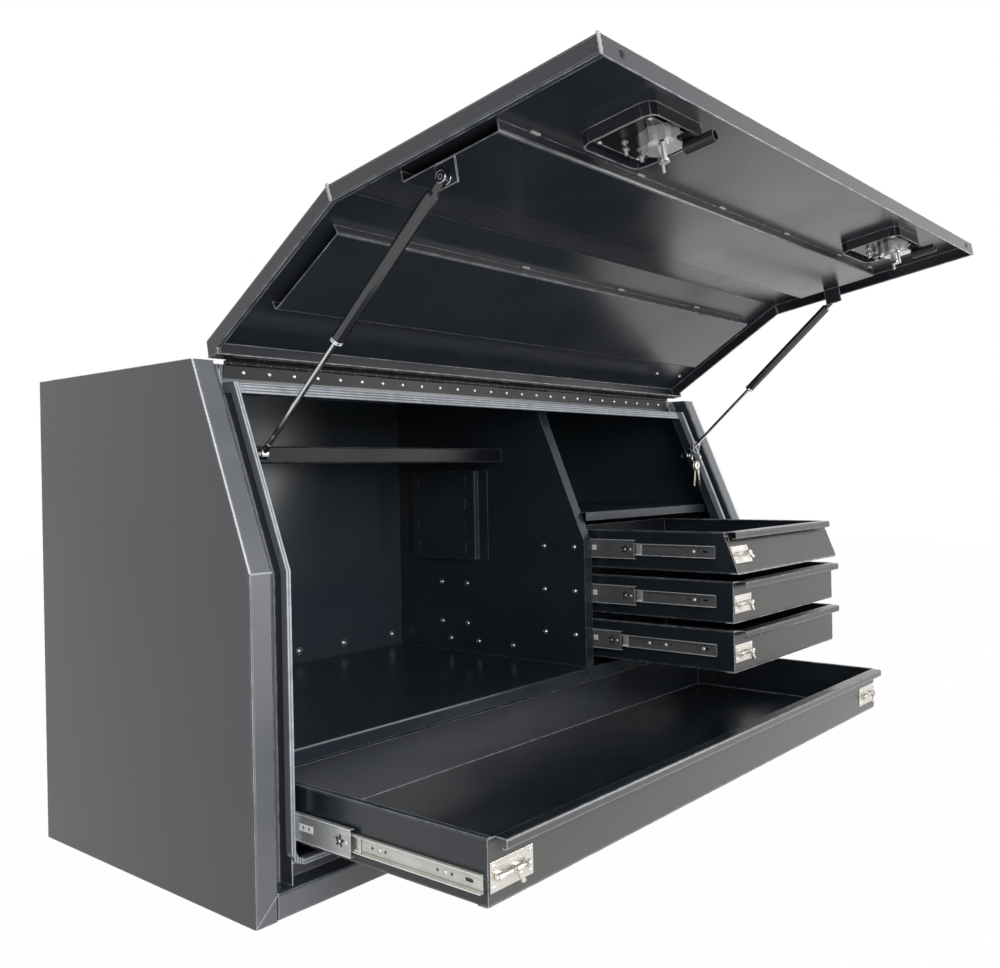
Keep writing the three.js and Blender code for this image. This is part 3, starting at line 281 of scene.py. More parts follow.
def finish_node(material, *names):
    for node_name in names:
        for node_slot in nodes[node_name].material_slots:
            node_slot.material = material


# Painted light: the edges are painted near white, partly wear and partly a painted highlight, and the faces
# that look forward get a lighter tint.
cabinet_coat = powder_coat("cabinet_black_coat", (0.025, 0.027, 0.031), (0.044, 0.046, 0.049),
                           (0.92, 0.93, 0.95), (0.20, 0.34), waves=0.03, edge_width=0.0020,
                           second=(0.118, 0.123, 0.132))
cabinet_tree = cabinet_coat.node_tree
cabinet_front, cabinet_edge_marks = found(cabinet_tree, faced), found(cabinet_tree, edge_wear_and_highlight)
# Painted shade: the faces that look into the opening are painted blue-black.
cabinet_inside_painted_shade = placed(cabinet_tree, faced, ("Second", (0.024, 0.034, 0.044, 1.0)), ("Place share", 1.0),
                        ("Offset", (0.0, 0.2, -0.4)))
wired(cabinet_tree, (cabinet_front, "Color", cabinet_inside_painted_shade, "First"),
      (cabinet_inside_painted_shade, "Color", cabinet_edge_marks, "Coat"))
finish_node(cabinet_coat, "cabinet_wrap", "side_panel_left", "side_panel_right")

# Corner seams: where the side panels, the lid and the strips meet, the sheets are welded and left as a run
# of small overlapping beads under the coat, each a cooled drop about as wide as two sheets. Along the slanted
# front edges the beads are finer and rubbed bright.
def only(thing):
    bpy.ops.object.select_all(action="DESELECT")
    thing.select_set(True)
    bpy.context.view_layer.objects.active = thing


def shown(thing, name, finish, body):
    only(thing)
    bpy.ops.object.transform_apply(location=True, rotation=True, scale=True)
    thing.name = thing.data.name = name
    thing.data.materials.clear()
    thing.data.materials.append(finish)
    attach(thing, body)
    return thing


def repeated(pattern, places):
    twins = []
    for place in places:
        twin = pattern.copy()
        twin.data = pattern.data.copy()
        twin.data.transform(place)
        bpy.context.scene.collection.objects.link(twin)
        twins.append(twin)
    bpy.data.objects.remove(pattern)
    bpy.ops.object.select_all(action="DESELECT")
    for twin in twins:
        twin.select_set(True)
    bpy.context.view_layer.objects.active = twins[0]
    bpy.ops.object.join()
    return bpy.context.object


def standing(point, normal, spin=0.0):
    return (Matrix.Translation(point) @ Vector(normal).to_track_quat("Z", "Y").to_matrix().to_4x4()
            @ Matrix.Rotation(spin, 4, "Z"))


def squashed(thing, shares):
    bpy.ops.object.mode_set(mode="EDIT")
    bpy.ops.mesh.select_all(action="SELECT")
    bpy.ops.transform.resize(value=shares, center_override=(0.0, 0.0, 0.0))
    bpy.ops.object.mode_set(mode="OBJECT")
    only(thing)
    bpy.ops.object.shade_smooth()
    return thing


def bead_drop(width, height):
    bpy.ops.object.select_all(action="DESELECT")
    bpy.ops.mesh.primitive_uv_sphere_add(segments=10, ring_count=6, radius=width / 2)
    return squashed(bpy.context.object, (1.0, 0.7, 2.0 * height / width))


def bead_run(start, end, normal, pitch):
    start, end = Vector(start), Vector(end)
    along = (end - start).normalized()
    side = Vector(normal).cross(along).normalized()
    turn = Matrix((side, along, Vector(normal).normalized())).transposed().to_4x4()
    count = max(2, round((end - start).length / pitch))
    return [Matrix.Translation(start.lerp(end, step / (count - 1))) @ turn
            @ Matrix.Scale(1.0 + 0.12 * math.sin(step * 2.3), 4) for step in range(count)]


hands = (("left", -1.0), ("right", 1.0))
cabinet_half, cabinet_front, knee, strip = 0.735, -0.3, 0.490, 0.038
knee_outer, knee_inner, knee_front = 0.7335, 0.699, cabinet_front - 0.0002
gutter_x, gutter_front, gutter_low, gutter_high = 0.6655, cabinet_front + 0.0372, 0.0375, 0.0665
slant_x, slant_low, slant_high = 0.7346, (-0.2996, 0.492), (-0.1705, 0.7995)
seam_places, edge_places = [], []
for hand_name, hand in hands:
    seam_places += bead_run((hand * knee_outer, knee_front, knee), (hand * knee_inner, knee_front, knee),
                            (0.0, -0.98, 0.2), 0.0026)
    seam_places += bead_run((hand * (cabinet_half - 0.001), cabinet_front, 0.002),
                            (hand * (cabinet_half - strip), cabinet_front, strip), (0.0, -1.0, 0.0), 0.0028)
    seam_places += bead_run((hand * gutter_x, gutter_front, gutter_low),
                            (hand * gutter_x, gutter_front, gutter_high), (0.0, -1.0, 0.0), 0.0028)
    edge_places += bead_run((hand * slant_x, *slant_low), (hand * slant_x, *slant_high),
                            (hand * 0.6, -0.74, 0.31), 0.0022)
seam_coat = powder_coat("seam_black_coat", (0.16, 0.165, 0.17), (0.42, 0.43, 0.44), (0.9, 0.9, 0.9),
                        (0.2, 0.32))
shown(repeated(bead_drop(0.0042, 0.0011), seam_places), "corner_seams", seam_coat, "cabinet")
edge_coat = powder_coat("slant_seam_coat", (0.50, 0.51, 0.53), (0.86, 0.87, 0.88), (0.95, 0.95, 0.95),
                        (0.16, 0.28))
shown(repeated(bead_drop(0.0030, 0.0006), edge_places), "slant_edge_seams", edge_coat, "cabinet")

# Inside: floor, divider, shelf, brackets, cover and slide channels, of the same coated steel sheet. Their coat
# is painted darker and bluer than the outside, a painted shade for the deep shade of the opening, and mirrors
# the opening in long soft streaks; the shelf's is duller and painted darker still, a painted shade as well.
inner_coat = powder_coat("inner_black_coat", (0.010, 0.014, 0.020), (0.022, 0.029, 0.037),
                         (0.34, 0.36, 0.39), (0.2, 0.32), waves=0.04, edge_strength=0.9, edge_width=0.0011, gloss=0.42)
shelf_coat = powder_coat("shelf_black_coat", (0.004, 0.005, 0.007), (0.009, 0.011, 0.014),
                         (0.40, 0.41, 0.42), (0.3, 0.42), waves=0.04, edge_width=0.0014, gloss=0.16)
finish_node(shelf_coat, "upper_shelf")
finish_node(inner_coat, "compartment_floor", "divider_wall", "shelf_bracket_left",
            "shelf_bracket_right", "bay_cover", "slide_support_left")

# Bolts and screws inside: galvanised pan heads that hold the bracket, the divider's slide rails and the bay's
# back, each with a washer under its head and a cross recess.
def domed(radius, height, segments, rings, lift=0.0):
    bpy.ops.mesh.primitive_uv_sphere_add(segments=segments, ring_count=rings, radius=radius)
    dome = bpy.context.object
    bpy.ops.object.mode_set(mode="EDIT")
    bpy.ops.mesh.select_all(action="SELECT")
    bpy.ops.mesh.bisect(plane_co=(0.0, 0.0, 0.0), plane_no=(0.0, 0.0, 1.0), use_fill=True, clear_inner=True)
    bpy.ops.mesh.select_all(action="SELECT")
    bpy.ops.transform.resize(value=(1.0, 1.0, height / radius), center_override=(0.0, 0.0, 0.0))
    bpy.ops.transform.translate(value=(0.0, 0.0, lift))
    bpy.ops.object.mode_set(mode="OBJECT")
    return dome


def cut_away(thing, tool):
    cut = thing.modifiers.new("cut", "BOOLEAN")
    cut.object, cut.operation = tool, "DIFFERENCE"
    only(thing)
    bpy.ops.object.modifier_apply(modifier=cut.name)
    bpy.data.objects.remove(tool)


def joined(first, *others):
    only(first)
    for other in others:
        other.select_set(True)
    bpy.ops.object.join()
    return bpy.context.object


def cross_screw(radius, height, washer=1.0):
    bpy.ops.object.select_all(action="DESELECT")
    bpy.ops.mesh.primitive_cylinder_add(vertices=20, radius=radius * washer, depth=0.0008,
                                        location=(0.0, 0.0, 0.0004))
    base = bpy.context.object
    head = domed(radius, height, 20, 12, lift=0.0007)
    for turn in (0.0, math.pi / 2):
        bpy.ops.mesh.primitive_cube_add(size=1.0, location=(0.0, 0.0, height), rotation=(0.0, 0.0, turn))
        recess = bpy.context.object
        recess.scale = (radius * 1.1, radius * 0.26, height * 1.1)
        cut_away(head, recess)
    screw = joined(head, base)
    bpy.ops.object.shade_smooth_by_angle(angle=math.radians(35))
    return screw


plate_shine, shine_in, shine_out = shader_group("plated_grain", (
    ("Light", "Color", (0.7, 0.7, 0.7, 1.0)), ("Dark", "Color", (0.4, 0.4, 0.4, 1.0)),
    ("Along", "Vector", (300.0, 9.0, 300.0)), ("Rough low", "Float", 0.2), ("Rough high", "Float", 0.4),
    ("Grain", "Float", 0.00001)), (("Color", "Color"), ("Roughness", "Float"), ("Normal", "Vector")))
shine_place = shader_node(plate_shine, "ShaderNodeTexCoord")
shine_stretch = shader_node(plate_shine, "ShaderNodeMapping")
shine_grain = noise(plate_shine, 1.0, 4.0)
shine_spots = noise(plate_shine, 38.0, 4.0)
shine_mix = shader_node(plate_shine, "ShaderNodeMixRGB")
shine_both = reckoned(plate_shine, "MULTIPLY_ADD", (1, 0.55))
shine_even = reckoned(plate_shine, "MULTIPLY", (1, 0.45))
shine_rough = shader_node(plate_shine, "ShaderNodeMapRange", (), (("From Min", 0.3), ("From Max", 0.7)))
shine_bump = shader_node(plate_shine, "ShaderNodeBump", (), (("Strength", 1.0),))
wired(plate_shine, (shine_place, "Object", shine_stretch, "Vector"),
      (shine_in, "Along", shine_stretch, "Scale"), (shine_stretch, 0, shine_grain, "Vector"),
      (shine_place, "Object", shine_spots, "Vector"), (shine_grain, "Fac", shine_even, 0),
      (shine_spots, "Fac", shine_both, 0), (shine_even, 0, shine_both, 2), (shine_both, 0, shine_mix, "Fac"),
      (shine_in, "Dark", shine_mix, "Color1"), (shine_in, "Light", shine_mix, "Color2"),
      (shine_both, 0, shine_rough, "Value"), (shine_in, "Rough high", shine_rough, "To Min"),
      (shine_in, "Rough low", shine_rough, "To Max"), (shine_grain, "Fac", shine_bump, "Height"),
      (shine_in, "Grain", shine_bump, "Distance"), (shine_mix, "Color", shine_out, "Color"),
      (shine_rough, 0, shine_out, "Roughness"), (shine_bump, "Normal", shine_out, "Normal"))


def plated(name, dark, light, rough, along=(300.0, 9.0, 300.0), grain=0.00001, metal=1.0, edge=0.0):
    plate, tree, shader = new_finish(name)
    shine = placed(tree, plate_shine, ("Dark", (*dark, 1.0)), ("Light", (*light, 1.0)), ("Along", along),
                   ("Rough low", rough[0]), ("Rough high", rough[1]), ("Grain", grain))
    wired(tree, (shine, "Color", shader, "Base Color"), (shine, "Roughness", shader, "Roughness"),
          (shine, "Normal", shader, "Normal"))
    # A painted highlight: the part's edges are painted near white.
    if edge:
        bright = placed(tree, edge_wear_and_highlight, ("Edge", (0.97, 0.97, 0.95, 1.0)), ("Wear and highlight", edge), ("Width", 0.0015))
        wired(tree, (shine, "Color", bright, "Coat"), (bright, "Color", shader, "Base Color"))
    shader.inputs["Metallic"].default_value = metal
    return plate


screw_zinc = plated("screw_zinc", (0.42, 0.43, 0.43), (0.72, 0.73, 0.72), (0.24, 0.4), (260.0, 260.0, 260.0))
divider_face, low_row_z, back_face, back_row_z = 0.1368, 0.246, 0.2980, 0.245
screw_places = [standing((divider_face - 0.0003, 0.05 + run, low_row_z), (-1.0, 0.0, 0.0), run * 9.0)
                for run in (-0.10, 0.0, 0.085)]
screw_places += [standing((divider_face, rail_y, rail_z), (-1.0, 0.0, 0.0), rail_y * 11.0)
                 for rail_z in (0.284, 0.375, 0.467) for rail_y in (-0.219, -0.140, 0.083, 0.161)]
shown(repeated(cross_screw(0.0052, 0.0032, 1.35), screw_places), "inside_screws", screw_zinc, "cabinet")
back_places = [standing((back_x, back_face, back_row_z), (0.0, -1.0, 0.0), back_x * 7.0)
               for back_x in (-0.62, -0.40, -0.175, -0.047, 0.105)]
shown(repeated(cross_screw(0.0058, 0.0036, 1.5), back_places), "back_bolts", screw_zinc, "cabinet")

# Seal: a grey rubber extrusion pushed over the upstand round the opening, its face moulded in fine ridges
# that run along it, dull, and painted paler on the ridge crests in random patches.
seal_rubber, seal_tree, seal_shader = new_finish("seal_grey_rubber")
ridge_pitch, upright_from = 0.0046, 0.6485
seal_place = shader_node(seal_tree, "ShaderNodeTexCoord")
seal_parts = shader_node(seal_tree, "ShaderNodeSeparateXYZ")
seal_side = reckoned(seal_tree, "ABSOLUTE")
seal_upright = reckoned(seal_tree, "GREATER_THAN", (1, upright_from))
seal_low = reckoned(seal_tree, "SUBTRACT")
seal_sum = reckoned(seal_tree, "MULTIPLY_ADD")
seal_wave = reckoned(seal_tree, "MULTIPLY", (1, 2.0 * math.pi / ridge_pitch))
seal_ridge = reckoned(seal_tree, "SINE")
seal_range = shader_node(seal_tree, "ShaderNodeMapRange", (), (("From Min", -1.0), ("From Max", 1.0)))
seal_patches = noise(seal_tree, 55.0, 6.0)
seal_mix = shader_node(seal_tree, "ShaderNodeMixRGB", (), (
    ("Color1", (0.135, 0.143, 0.160, 1.0)), ("Color2", (0.86, 0.89, 0.95, 1.0))))
seal_blend = reckoned(seal_tree, "MULTIPLY")
seal_rough = shader_node(seal_tree, "ShaderNodeMapRange", (), (
    ("From Min", 0.3), ("From Max", 0.7), ("To Min", 0.5), ("To Max", 0.78)))
seal_bump = shader_node(seal_tree, "ShaderNodeBump", (), (("Strength", 0.9), ("Distance", 0.0006)))
wired(seal_tree, (seal_place, "Object", seal_parts, 0), (seal_parts, "X", seal_side, 0),
      (seal_side, 0, seal_upright, 0), (seal_side, 0, seal_low, 0), (seal_parts, "Z", seal_low, 1),
      (seal_upright, 0, seal_sum, 0), (seal_low, 0, seal_sum, 1), (seal_parts, "Z", seal_sum, 2),
      (seal_sum, 0, seal_wave, 0), (seal_wave, 0, seal_ridge, 0), (seal_ridge, 0, seal_range, "Value"),
      (seal_place, "Object", seal_patches, "Vector"), (seal_range, 0, seal_blend, 0),
      (seal_patches, "Fac", seal_blend, 1), (seal_blend, 0, seal_mix, "Fac"),
      (seal_mix, "Color", seal_shader, "Base Color"), (seal_patches, "Fac", seal_rough, "Value"),
      (seal_rough, 0, seal_shader, "Roughness"), (seal_range, 0, seal_bump, "Height"),
      (seal_bump, "Normal", seal_shader, "Normal"))
finish_node(seal_rubber, "door_seal")

# Hinge: a piano hinge of dark painted steel along the whole lid, riveted through both leaves, its knuckles an
# inch apart. The cabinet's rivets are bare bright heads; the lid's sit in pairs and were painted over.
hinge_paint = powder_coat("hinge_dark_paint", (0.007, 0.008, 0.009), (0.016, 0.017, 0.018), (0.42, 0.41, 0.39),
                          (0.3, 0.45), edge_strength=0.8, edge_width=0.0007, gloss=0.2)
hinge_steel = plated("hinge_pin_steel", (0.05, 0.05, 0.05), (0.12, 0.12, 0.12), (0.3, 0.5))
finish_node(hinge_paint, "hinge_cabinet_leaf", "hinge_lid_leaf")
finish_node(hinge_steel, "hinge_pin")
rivet_bright = plated("rivet_bright", (0.66, 0.66, 0.64), (0.92, 0.92, 0.9), (0.18, 0.34),
                      (220.0, 220.0, 220.0), metal=0.55)


def rivet_head(radius, height):
    bpy.ops.object.select_all(action="DESELECT")
    head = domed(radius, height, 16, 10)
    only(head)
    bpy.ops.object.shade_smooth_by_angle(angle=math.radians(40))
    return head


def hoop(major, minor, around=36, across=12):
    bpy.ops.object.select_all(action="DESELECT")
    bpy.ops.mesh.primitive_torus_add(major_radius=major, minor_radius=minor, major_segments=around,
                                     minor_segments=across)
    return squashed(bpy.context.object, (1.0, 1.0, 1.25))


hinge_y, hinge_z, lid_angle = -0.1395, 0.802, -99.6
knuckle_start, knuckle_pitch, knuckle_count = -0.6477, 0.0254, 52
rivet_start, rivet_pitch, rivet_count, rivet_line = -0.621, 0.0497, 26, (-0.1373, 0.7885)
pair_start, pair_pitch, pair_gap, pair_count, pair_line = -0.60, 0.0995, 0.012, 13, (-0.1417, 0.7868)
# The knuckles' edges are drawn as pale grey rings.
knuckle_edge_grey = plated("hinge_knuckle_edge_grey", (0.12, 0.12, 0.12), (0.42, 0.42, 0.41), (0.25, 0.4))
shown(repeated(hoop(0.0036, 0.0004, 24, 6), [
    standing((knuckle_start + knuckle_pitch * step, hinge_y, hinge_z), (1.0, 0.0, 0.0))
    for step in range(knuckle_count)]), "hinge_knuckle_edges", knuckle_edge_grey, "cabinet")
shown(repeated(rivet_head(0.0034, 0.0019), [
    standing((rivet_start + rivet_pitch * step, *rivet_line), (0.0, -1.0, 0.0))
    for step in range(rivet_count)]), "hinge_rivets_cabinet", rivet_bright, "cabinet")
lid_open = (Matrix.Translation((0.0, hinge_y, hinge_z)) @ Matrix.Rotation(math.radians(lid_angle), 4, "X")
            @ Matrix.Translation((0.0, -hinge_y, -hinge_z)))
shown(repeated(rivet_head(0.0028, 0.0015), [
    lid_open @ standing((pair_start + pair_pitch * step + side * pair_gap, *pair_line), (0.0, 1.0, 0.0))
    for step in range(pair_count) for side in (-0.5, 0.5)]),
    "hinge_rivets_lid", hinge_paint, "lid")

# Lid: one sheet folded into a top, a slanted and an upright panel, its edges turned in and welded at the
# corners. Two hat-section stiffeners are tacked on inside. The coat is painted darker and bluer than the
# cabinet's, a painted shade for the lid's underside, and its edges are painted pale as wear and painted
# highlight.
lid_coat = powder_coat("lid_black_coat", (0.014, 0.018, 0.023), (0.030, 0.033, 0.037), (0.80, 0.81, 0.83),
                       (0.20, 0.32), waves=0.04, edge_width=0.0020, coat=0.1, gloss=0.5)
finish_node(lid_coat, "lid_shell", "lid_stiffener_slant", "lid_stiffener_door")
lid_half, rim_low, rim_pitch, door_inner = 0.6883, 0.0447, 0.0026, -0.2978
tack_half, tack_pitch, hem_deep, screw_rise, screw_deep = 0.008, 0.0028, 0.0022, 0.285, 0.0017
slant_start = Vector((0.0, -0.3, 0.490))
slant_along = Vector((0.0, 0.38674, 0.92222))
slant_inward = Vector((0.0, 0.92222, -0.38674))
tack_places = []
for tack_x in (-0.56, -0.31, -0.06, 0.19, 0.44, 0.61):
    for tack_z in (0.2315, 0.4055):
        tack_places += bead_run((tack_x - tack_half, door_inner, tack_z),
                                (tack_x + tack_half, door_inner, tack_z), (0.0, 1.0, 0.0), tack_pitch)
for tack_x in (-0.50, -0.20, 0.10, 0.40):
    for tack_rise in (0.0585, 0.2325):
        tack_spot = slant_start + slant_along * tack_rise + slant_inward * hem_deep
        tack_places += bead_run(tack_spot + Vector((tack_x - tack_half, 0.0, 0.0)),
                                tack_spot + Vector((tack_x + tack_half, 0.0, 0.0)), slant_inward, tack_pitch)
for hand_name, hand in hands:
    rim_x = hand * (lid_half - 0.001)
    tack_places += bead_run((rim_x, -0.2985, rim_low), (rim_x, -0.276, rim_low), (0.0, 0.0, -1.0), rim_pitch)
    tack_places += bead_run((hand * lid_half, -0.2992, 0.488), (hand * lid_half, -0.277, 0.4845),
                            (hand, 0.0, 0.0), rim_pitch)
tack_steel = powder_coat("weld_tack_coat", (0.20, 0.20, 0.20), (0.46, 0.46, 0.45), (0.7, 0.7, 0.7), (0.18, 0.3))
shown(repeated(bead_drop(0.0064, 0.0021), [lid_open @ place for place in tack_places]), "lid_weld_tacks",
      tack_steel, "lid")
lid_screw_row = slant_start + slant_along * screw_rise + slant_inward * screw_deep
shown(repeated(cross_screw(0.0046, 0.0028, 1.35), [
    lid_open @ standing(lid_screw_row + Vector((spot_x, 0.0, 0.0)), slant_inward)
    for spot_x in (0.545, 0.652)]), "lid_screws", screw_zinc, "lid")

# Drain grommets: small plugs of black rubber with a low domed head, pushed into the two drain holes of the
# lid's lower edge, one near each end.
shown(repeated(rivet_head(0.0062, 0.0016), [
    lid_open @ standing((grommet_x, -0.2885, 0.0445), (0.0, 0.0, -1.0)) for grommet_x in (-0.644, 0.648)]),
    "lid_drain_grommets", hinge_paint, "lid")

# Latches: die-cast bodies on black pressed pans, each held by four corner screws. The cast parts are left
# grey and slightly rough; the studs, nuts and spindle bolt are bright zinc, the catch tube black steel. The
# pans' rims and the cast parts' edges are painted near white, a painted highlight.
pan_coat = powder_coat("latch_pan_coat", (0.007, 0.008, 0.009), (0.014, 0.015, 0.016), (0.95, 0.95, 0.95),
                       (0.2, 0.32), edge_width=0.0026, gloss=0.3)
cast_grey = plated("latch_cast_grey", (0.46, 0.47, 0.465), (0.90, 0.91, 0.90), (0.22, 0.40),
                   (120.0, 120.0, 120.0), grain=0.00006, metal=0.6, edge=1.0)
tube_down = lid_open.to_3x3() @ Vector((0.0, 0.0, -1.0))
tube_top = lid_open @ Vector((0.0, -0.25, 0.0955))
painted_beyond(cast_grey, tuple(tube_down), tube_down.dot(tube_top), (0.012, 0.013, 0.015), 0.6, 0.0)
handle_steel = plated("latch_handle_steel", (0.5, 0.5, 0.49), (0.75, 0.75, 0.74), (0.16, 0.3))
finish_node(pan_coat, "latch_pan_left", "latch_pan_right")
finish_node(cast_grey, "latch_cam_left", "latch_cam_right")
finish_node(handle_steel, "latch_handle_left", "latch_handle_right")


def softened(thing, width, segments, sharper_than=30.0):
    soft = thing.modifiers.new("soft", "BEVEL")
    soft.width, soft.segments = width, segments
    soft.limit_method, soft.angle_limit = "ANGLE", math.radians(sharper_than)
    only(thing)
    bpy.ops.object.modifier_apply(modifier=soft.name)


def ringed(sides, radius, depth, bore, soften):
    bpy.ops.object.select_all(action="DESELECT")
    bpy.ops.mesh.primitive_cylinder_add(vertices=sides, radius=radius, depth=depth,
                                        location=(0.0, 0.0, depth / 2))
    body = bpy.context.object
    bpy.ops.mesh.primitive_cylinder_add(vertices=24, radius=bore, depth=depth * 3.0)
    cut_away(body, bpy.context.object)
    softened(body, soften, 2, sharper_than=40.0)
    bpy.ops.object.shade_smooth_by_angle(angle=math.radians(40))
    return body


def threaded_stud(radius, length):
    turn = 0.0008
    bpy.ops.object.select_all(action="DESELECT")
    bpy.ops.mesh.primitive_cylinder_add(vertices=18, radius=radius, depth=turn, location=(0.0, 0.0, turn / 2))
    stud = bpy.context.object
    bpy.ops.object.mode_set(mode="EDIT")
    bpy.ops.mesh.select_all(action="SELECT")
    bpy.ops.mesh.bevel(offset=0.00028, segments=1, affect="EDGES")
    bpy.ops.object.mode_set(mode="OBJECT")
    threads = stud.modifiers.new("threads", "ARRAY")
    threads.count = max(2, round(length / turn))
    threads.use_relative_offset = False
    threads.use_constant_offset = True
    threads.constant_offset_displace = (0.0, 0.0, 0.00078)
    only(stud)
    bpy.ops.object.modifier_apply(modifier=threads.name)
    bpy.ops.object.shade_smooth_by_angle(angle=math.radians(40))
    return stud


latch_x, pan_floor, hub_floor, spindle_tip, spindle_z = 0.438, -0.2862, -0.2615, -0.2442, 0.125
stud_spots = ((-0.016, 0.168), (0.022, 0.168))
hub_spots = ((-0.017, 0.1135), (0.018, 0.1365))


def on_latch(hand, offset, depth, height, spin=0.0):
    return lid_open @ standing((hand * latch_x + offset, depth, height), (0.0, 1.0, 0.0), spin)


for hand_name, hand in hands:
    latch_body = f"latch_{hand_name}"
    for part_name, part, body, part_places in (
            ("latch_pan_screws", cross_screw(0.0036, 0.0020), "lid",
             [on_latch(hand, dx, pan_floor + 0.0003, z, dx * 40.0)
              for dx in (-0.046, 0.046) for z in (0.110, 0.187)]),
            ("latch_pan_studs", threaded_stud(0.0026, 0.020), "lid",
             [on_latch(hand, dx, pan_floor, z) for dx, z in stud_spots]),
            ("latch_stud_nuts", ringed(6, 0.0056, 0.0046, 0.0027, 0.0005), "lid",
             [on_latch(hand, dx, pan_floor + lift, z, math.copysign(0.4, dx))
              for dx, z in stud_spots for lift in (0.0014, 0.0119)]),
            ("latch_hub_studs", threaded_stud(0.0025, 0.024), latch_body,
             [on_latch(hand, dx, hub_floor, z) for dx, z in hub_spots]),
            ("latch_hub_nuts", ringed(6, 0.0052, 0.0044, 0.0026, 0.0005), latch_body,
             [on_latch(hand, dx, hub_floor + 0.0009, z, dx * 30.0) for dx, z in hub_spots]),
            ("latch_spindle_nut", ringed(6, 0.0086, 0.0058, 0.0030, 0.0009), latch_body,
             [on_latch(hand, 0.0, spindle_tip, spindle_z, 0.3)])):
        shown(repeated(part, part_places), f"{part_name}_{hand_name}", screw_zinc, body)

# Gas struts: a glossy black painted cylinder with a crimped neck and a bright gland ring, a ground plated rod,
# and a ball socket at each end, held to its stud by a round wire clip.
strut_paint = powder_coat("strut_black_gloss", (0.008, 0.009, 0.011), (0.014, 0.015, 0.018), (0.3, 0.3, 0.3),
                          (0.1, 0.18), edge_strength=0.5, edge_width=0.0008, coat=0.5)
rod_zinc = plated("strut_rod_plate", (0.45, 0.46, 0.46), (0.75, 0.76, 0.76), (0.1, 0.22), (60.0, 60.0, 60.0))
finish_node(strut_paint, "strut_cylinder_left", "strut_cylinder_right")
finish_node(rod_zinc, "strut_rod_left", "strut_rod_right")
strut_side, clip_half = 0.637, 0.0052
strut_top = Vector((0.0, -0.58693, 0.99887))
strut_foot = Vector((0.0, -0.20308, 0.65906))
strut_line = (strut_foot - strut_top).normalized()
for hand_name, hand in hands:
    strut_x = Vector((hand * strut_side, 0.0, 0.0))
    gland_places = [standing(strut_x + strut_top + strut_line * run, strut_line) for run in (0.2815, 0.2785)]
    shown(repeated(hoop(0.0090, 0.0010), gland_places), f"strut_gland_{hand_name}", rod_zinc,
          f"strut_{hand_name}")
    for clip_name, clip_end, clip_body in (("top", strut_top, f"strut_{hand_name}"),
                                           ("foot", strut_foot, f"strut_rod_{hand_name}_body")):
        clip_places = [standing(strut_x + clip_end + Vector((side, 0.0, 0.0)), (1.0, 0.0, 0.0))
                       for side in (-clip_half, clip_half)]
        shown(repeated(hoop(0.0079, 0.0008), clip_places), f"strut_{clip_name}_clip_{hand_name}", rod_zinc,
              clip_body)

# Keys: two brass-bodied, nickel-plated keys on a split ring, hung from the right strut's rod by a white
# nylon cable tie with its square lock and cut tail.
def nylon(name, dark, light, speck, rough):
    finish, tree, shader = new_finish(name)
    place = shader_node(tree, "ShaderNodeTexCoord")
    specks = noise(tree, speck, 3.0)
    mix = shader_node(tree, "ShaderNodeMixRGB", (), (("Color1", (*dark, 1.0)), ("Color2", (*light, 1.0))))
    wired(tree, (place, "Object", specks, "Vector"), (specks, "Fac", mix, "Fac"),
          (mix, "Color", shader, "Base Color"))
    shader.inputs["Roughness"].default_value = rough
    return finish


def slab(size, place=(0.0, 0.0, 0.0), lean=0.0):
    bpy.ops.object.select_all(action="DESELECT")
    bpy.ops.mesh.primitive_cube_add(size=1.0, location=place, rotation=(0.0, lean, 0.0))
    made = bpy.context.object
    made.scale = size
    bpy.ops.object.transform_apply(location=True, rotation=True, scale=True)
    return made


tie_nylon = nylon("tie_white_nylon", (0.70, 0.70, 0.67), (0.84, 0.84, 0.82), 300.0, 0.42)
key_nickel = plated("key_nickel", (0.52, 0.49, 0.42), (0.78, 0.75, 0.68), (0.18, 0.32), (200.0, 200.0, 200.0))
tie_centre = Vector((strut_side, -0.23305, 0.6787))
tie_loop = repeated(hoop(0.0138, 0.0009), [standing(tie_centre, (0.0, 1.0, 0.0))])
tie_lock = slab((0.0044, 0.0050, 0.0050), tie_centre + Vector((0.0128, 0.0, 0.0062)), lean=0.5)
tie_tail = slab((0.0120, 0.0028, 0.0012), tie_centre + Vector((0.0185, 0.0, 0.0095)), lean=0.5)
softened(tie_lock, 0.0005, 2)
softened(tie_tail, 0.0005, 2)
key_tie = shown(joined(tie_loop, tie_lock, tie_tail), "key_tie", tie_nylon, "keys")
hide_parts("key_set")
ring_centre = tie_centre + Vector((0.0, 0.0, -0.0252))
shown(repeated(hoop(0.0120, 0.0007), [
    standing(ring_centre + Vector((side, 0.0, 0.0)), (1.0, 0.0, side * 14.0)) for side in (-0.0007, 0.0007)]),
    "key_ring", rod_zinc, "keys")


def cut_key():
    blade_edge, notch_radius = 0.0037, 0.0034
    bow = ringed(28, 0.0110, 0.0020, 0.0034, 0.0004)
    blade = slab((0.0074, 0.0420, 0.0020), (0.0, -0.0300, 0.0010))
    for notch_place, notch_depth in ((-0.020, 0.0016), (-0.026, 0.0028), (-0.032, 0.0012), (-0.038, 0.0030),
                                     (-0.044, 0.0020)):
        bpy.ops.mesh.primitive_cylinder_add(vertices=4, radius=notch_radius, depth=0.01, location=(
            blade_edge + notch_radius - notch_depth, notch_place, 0.0))
        cut_away(blade, bpy.context.object)
    return joined(bow, blade)


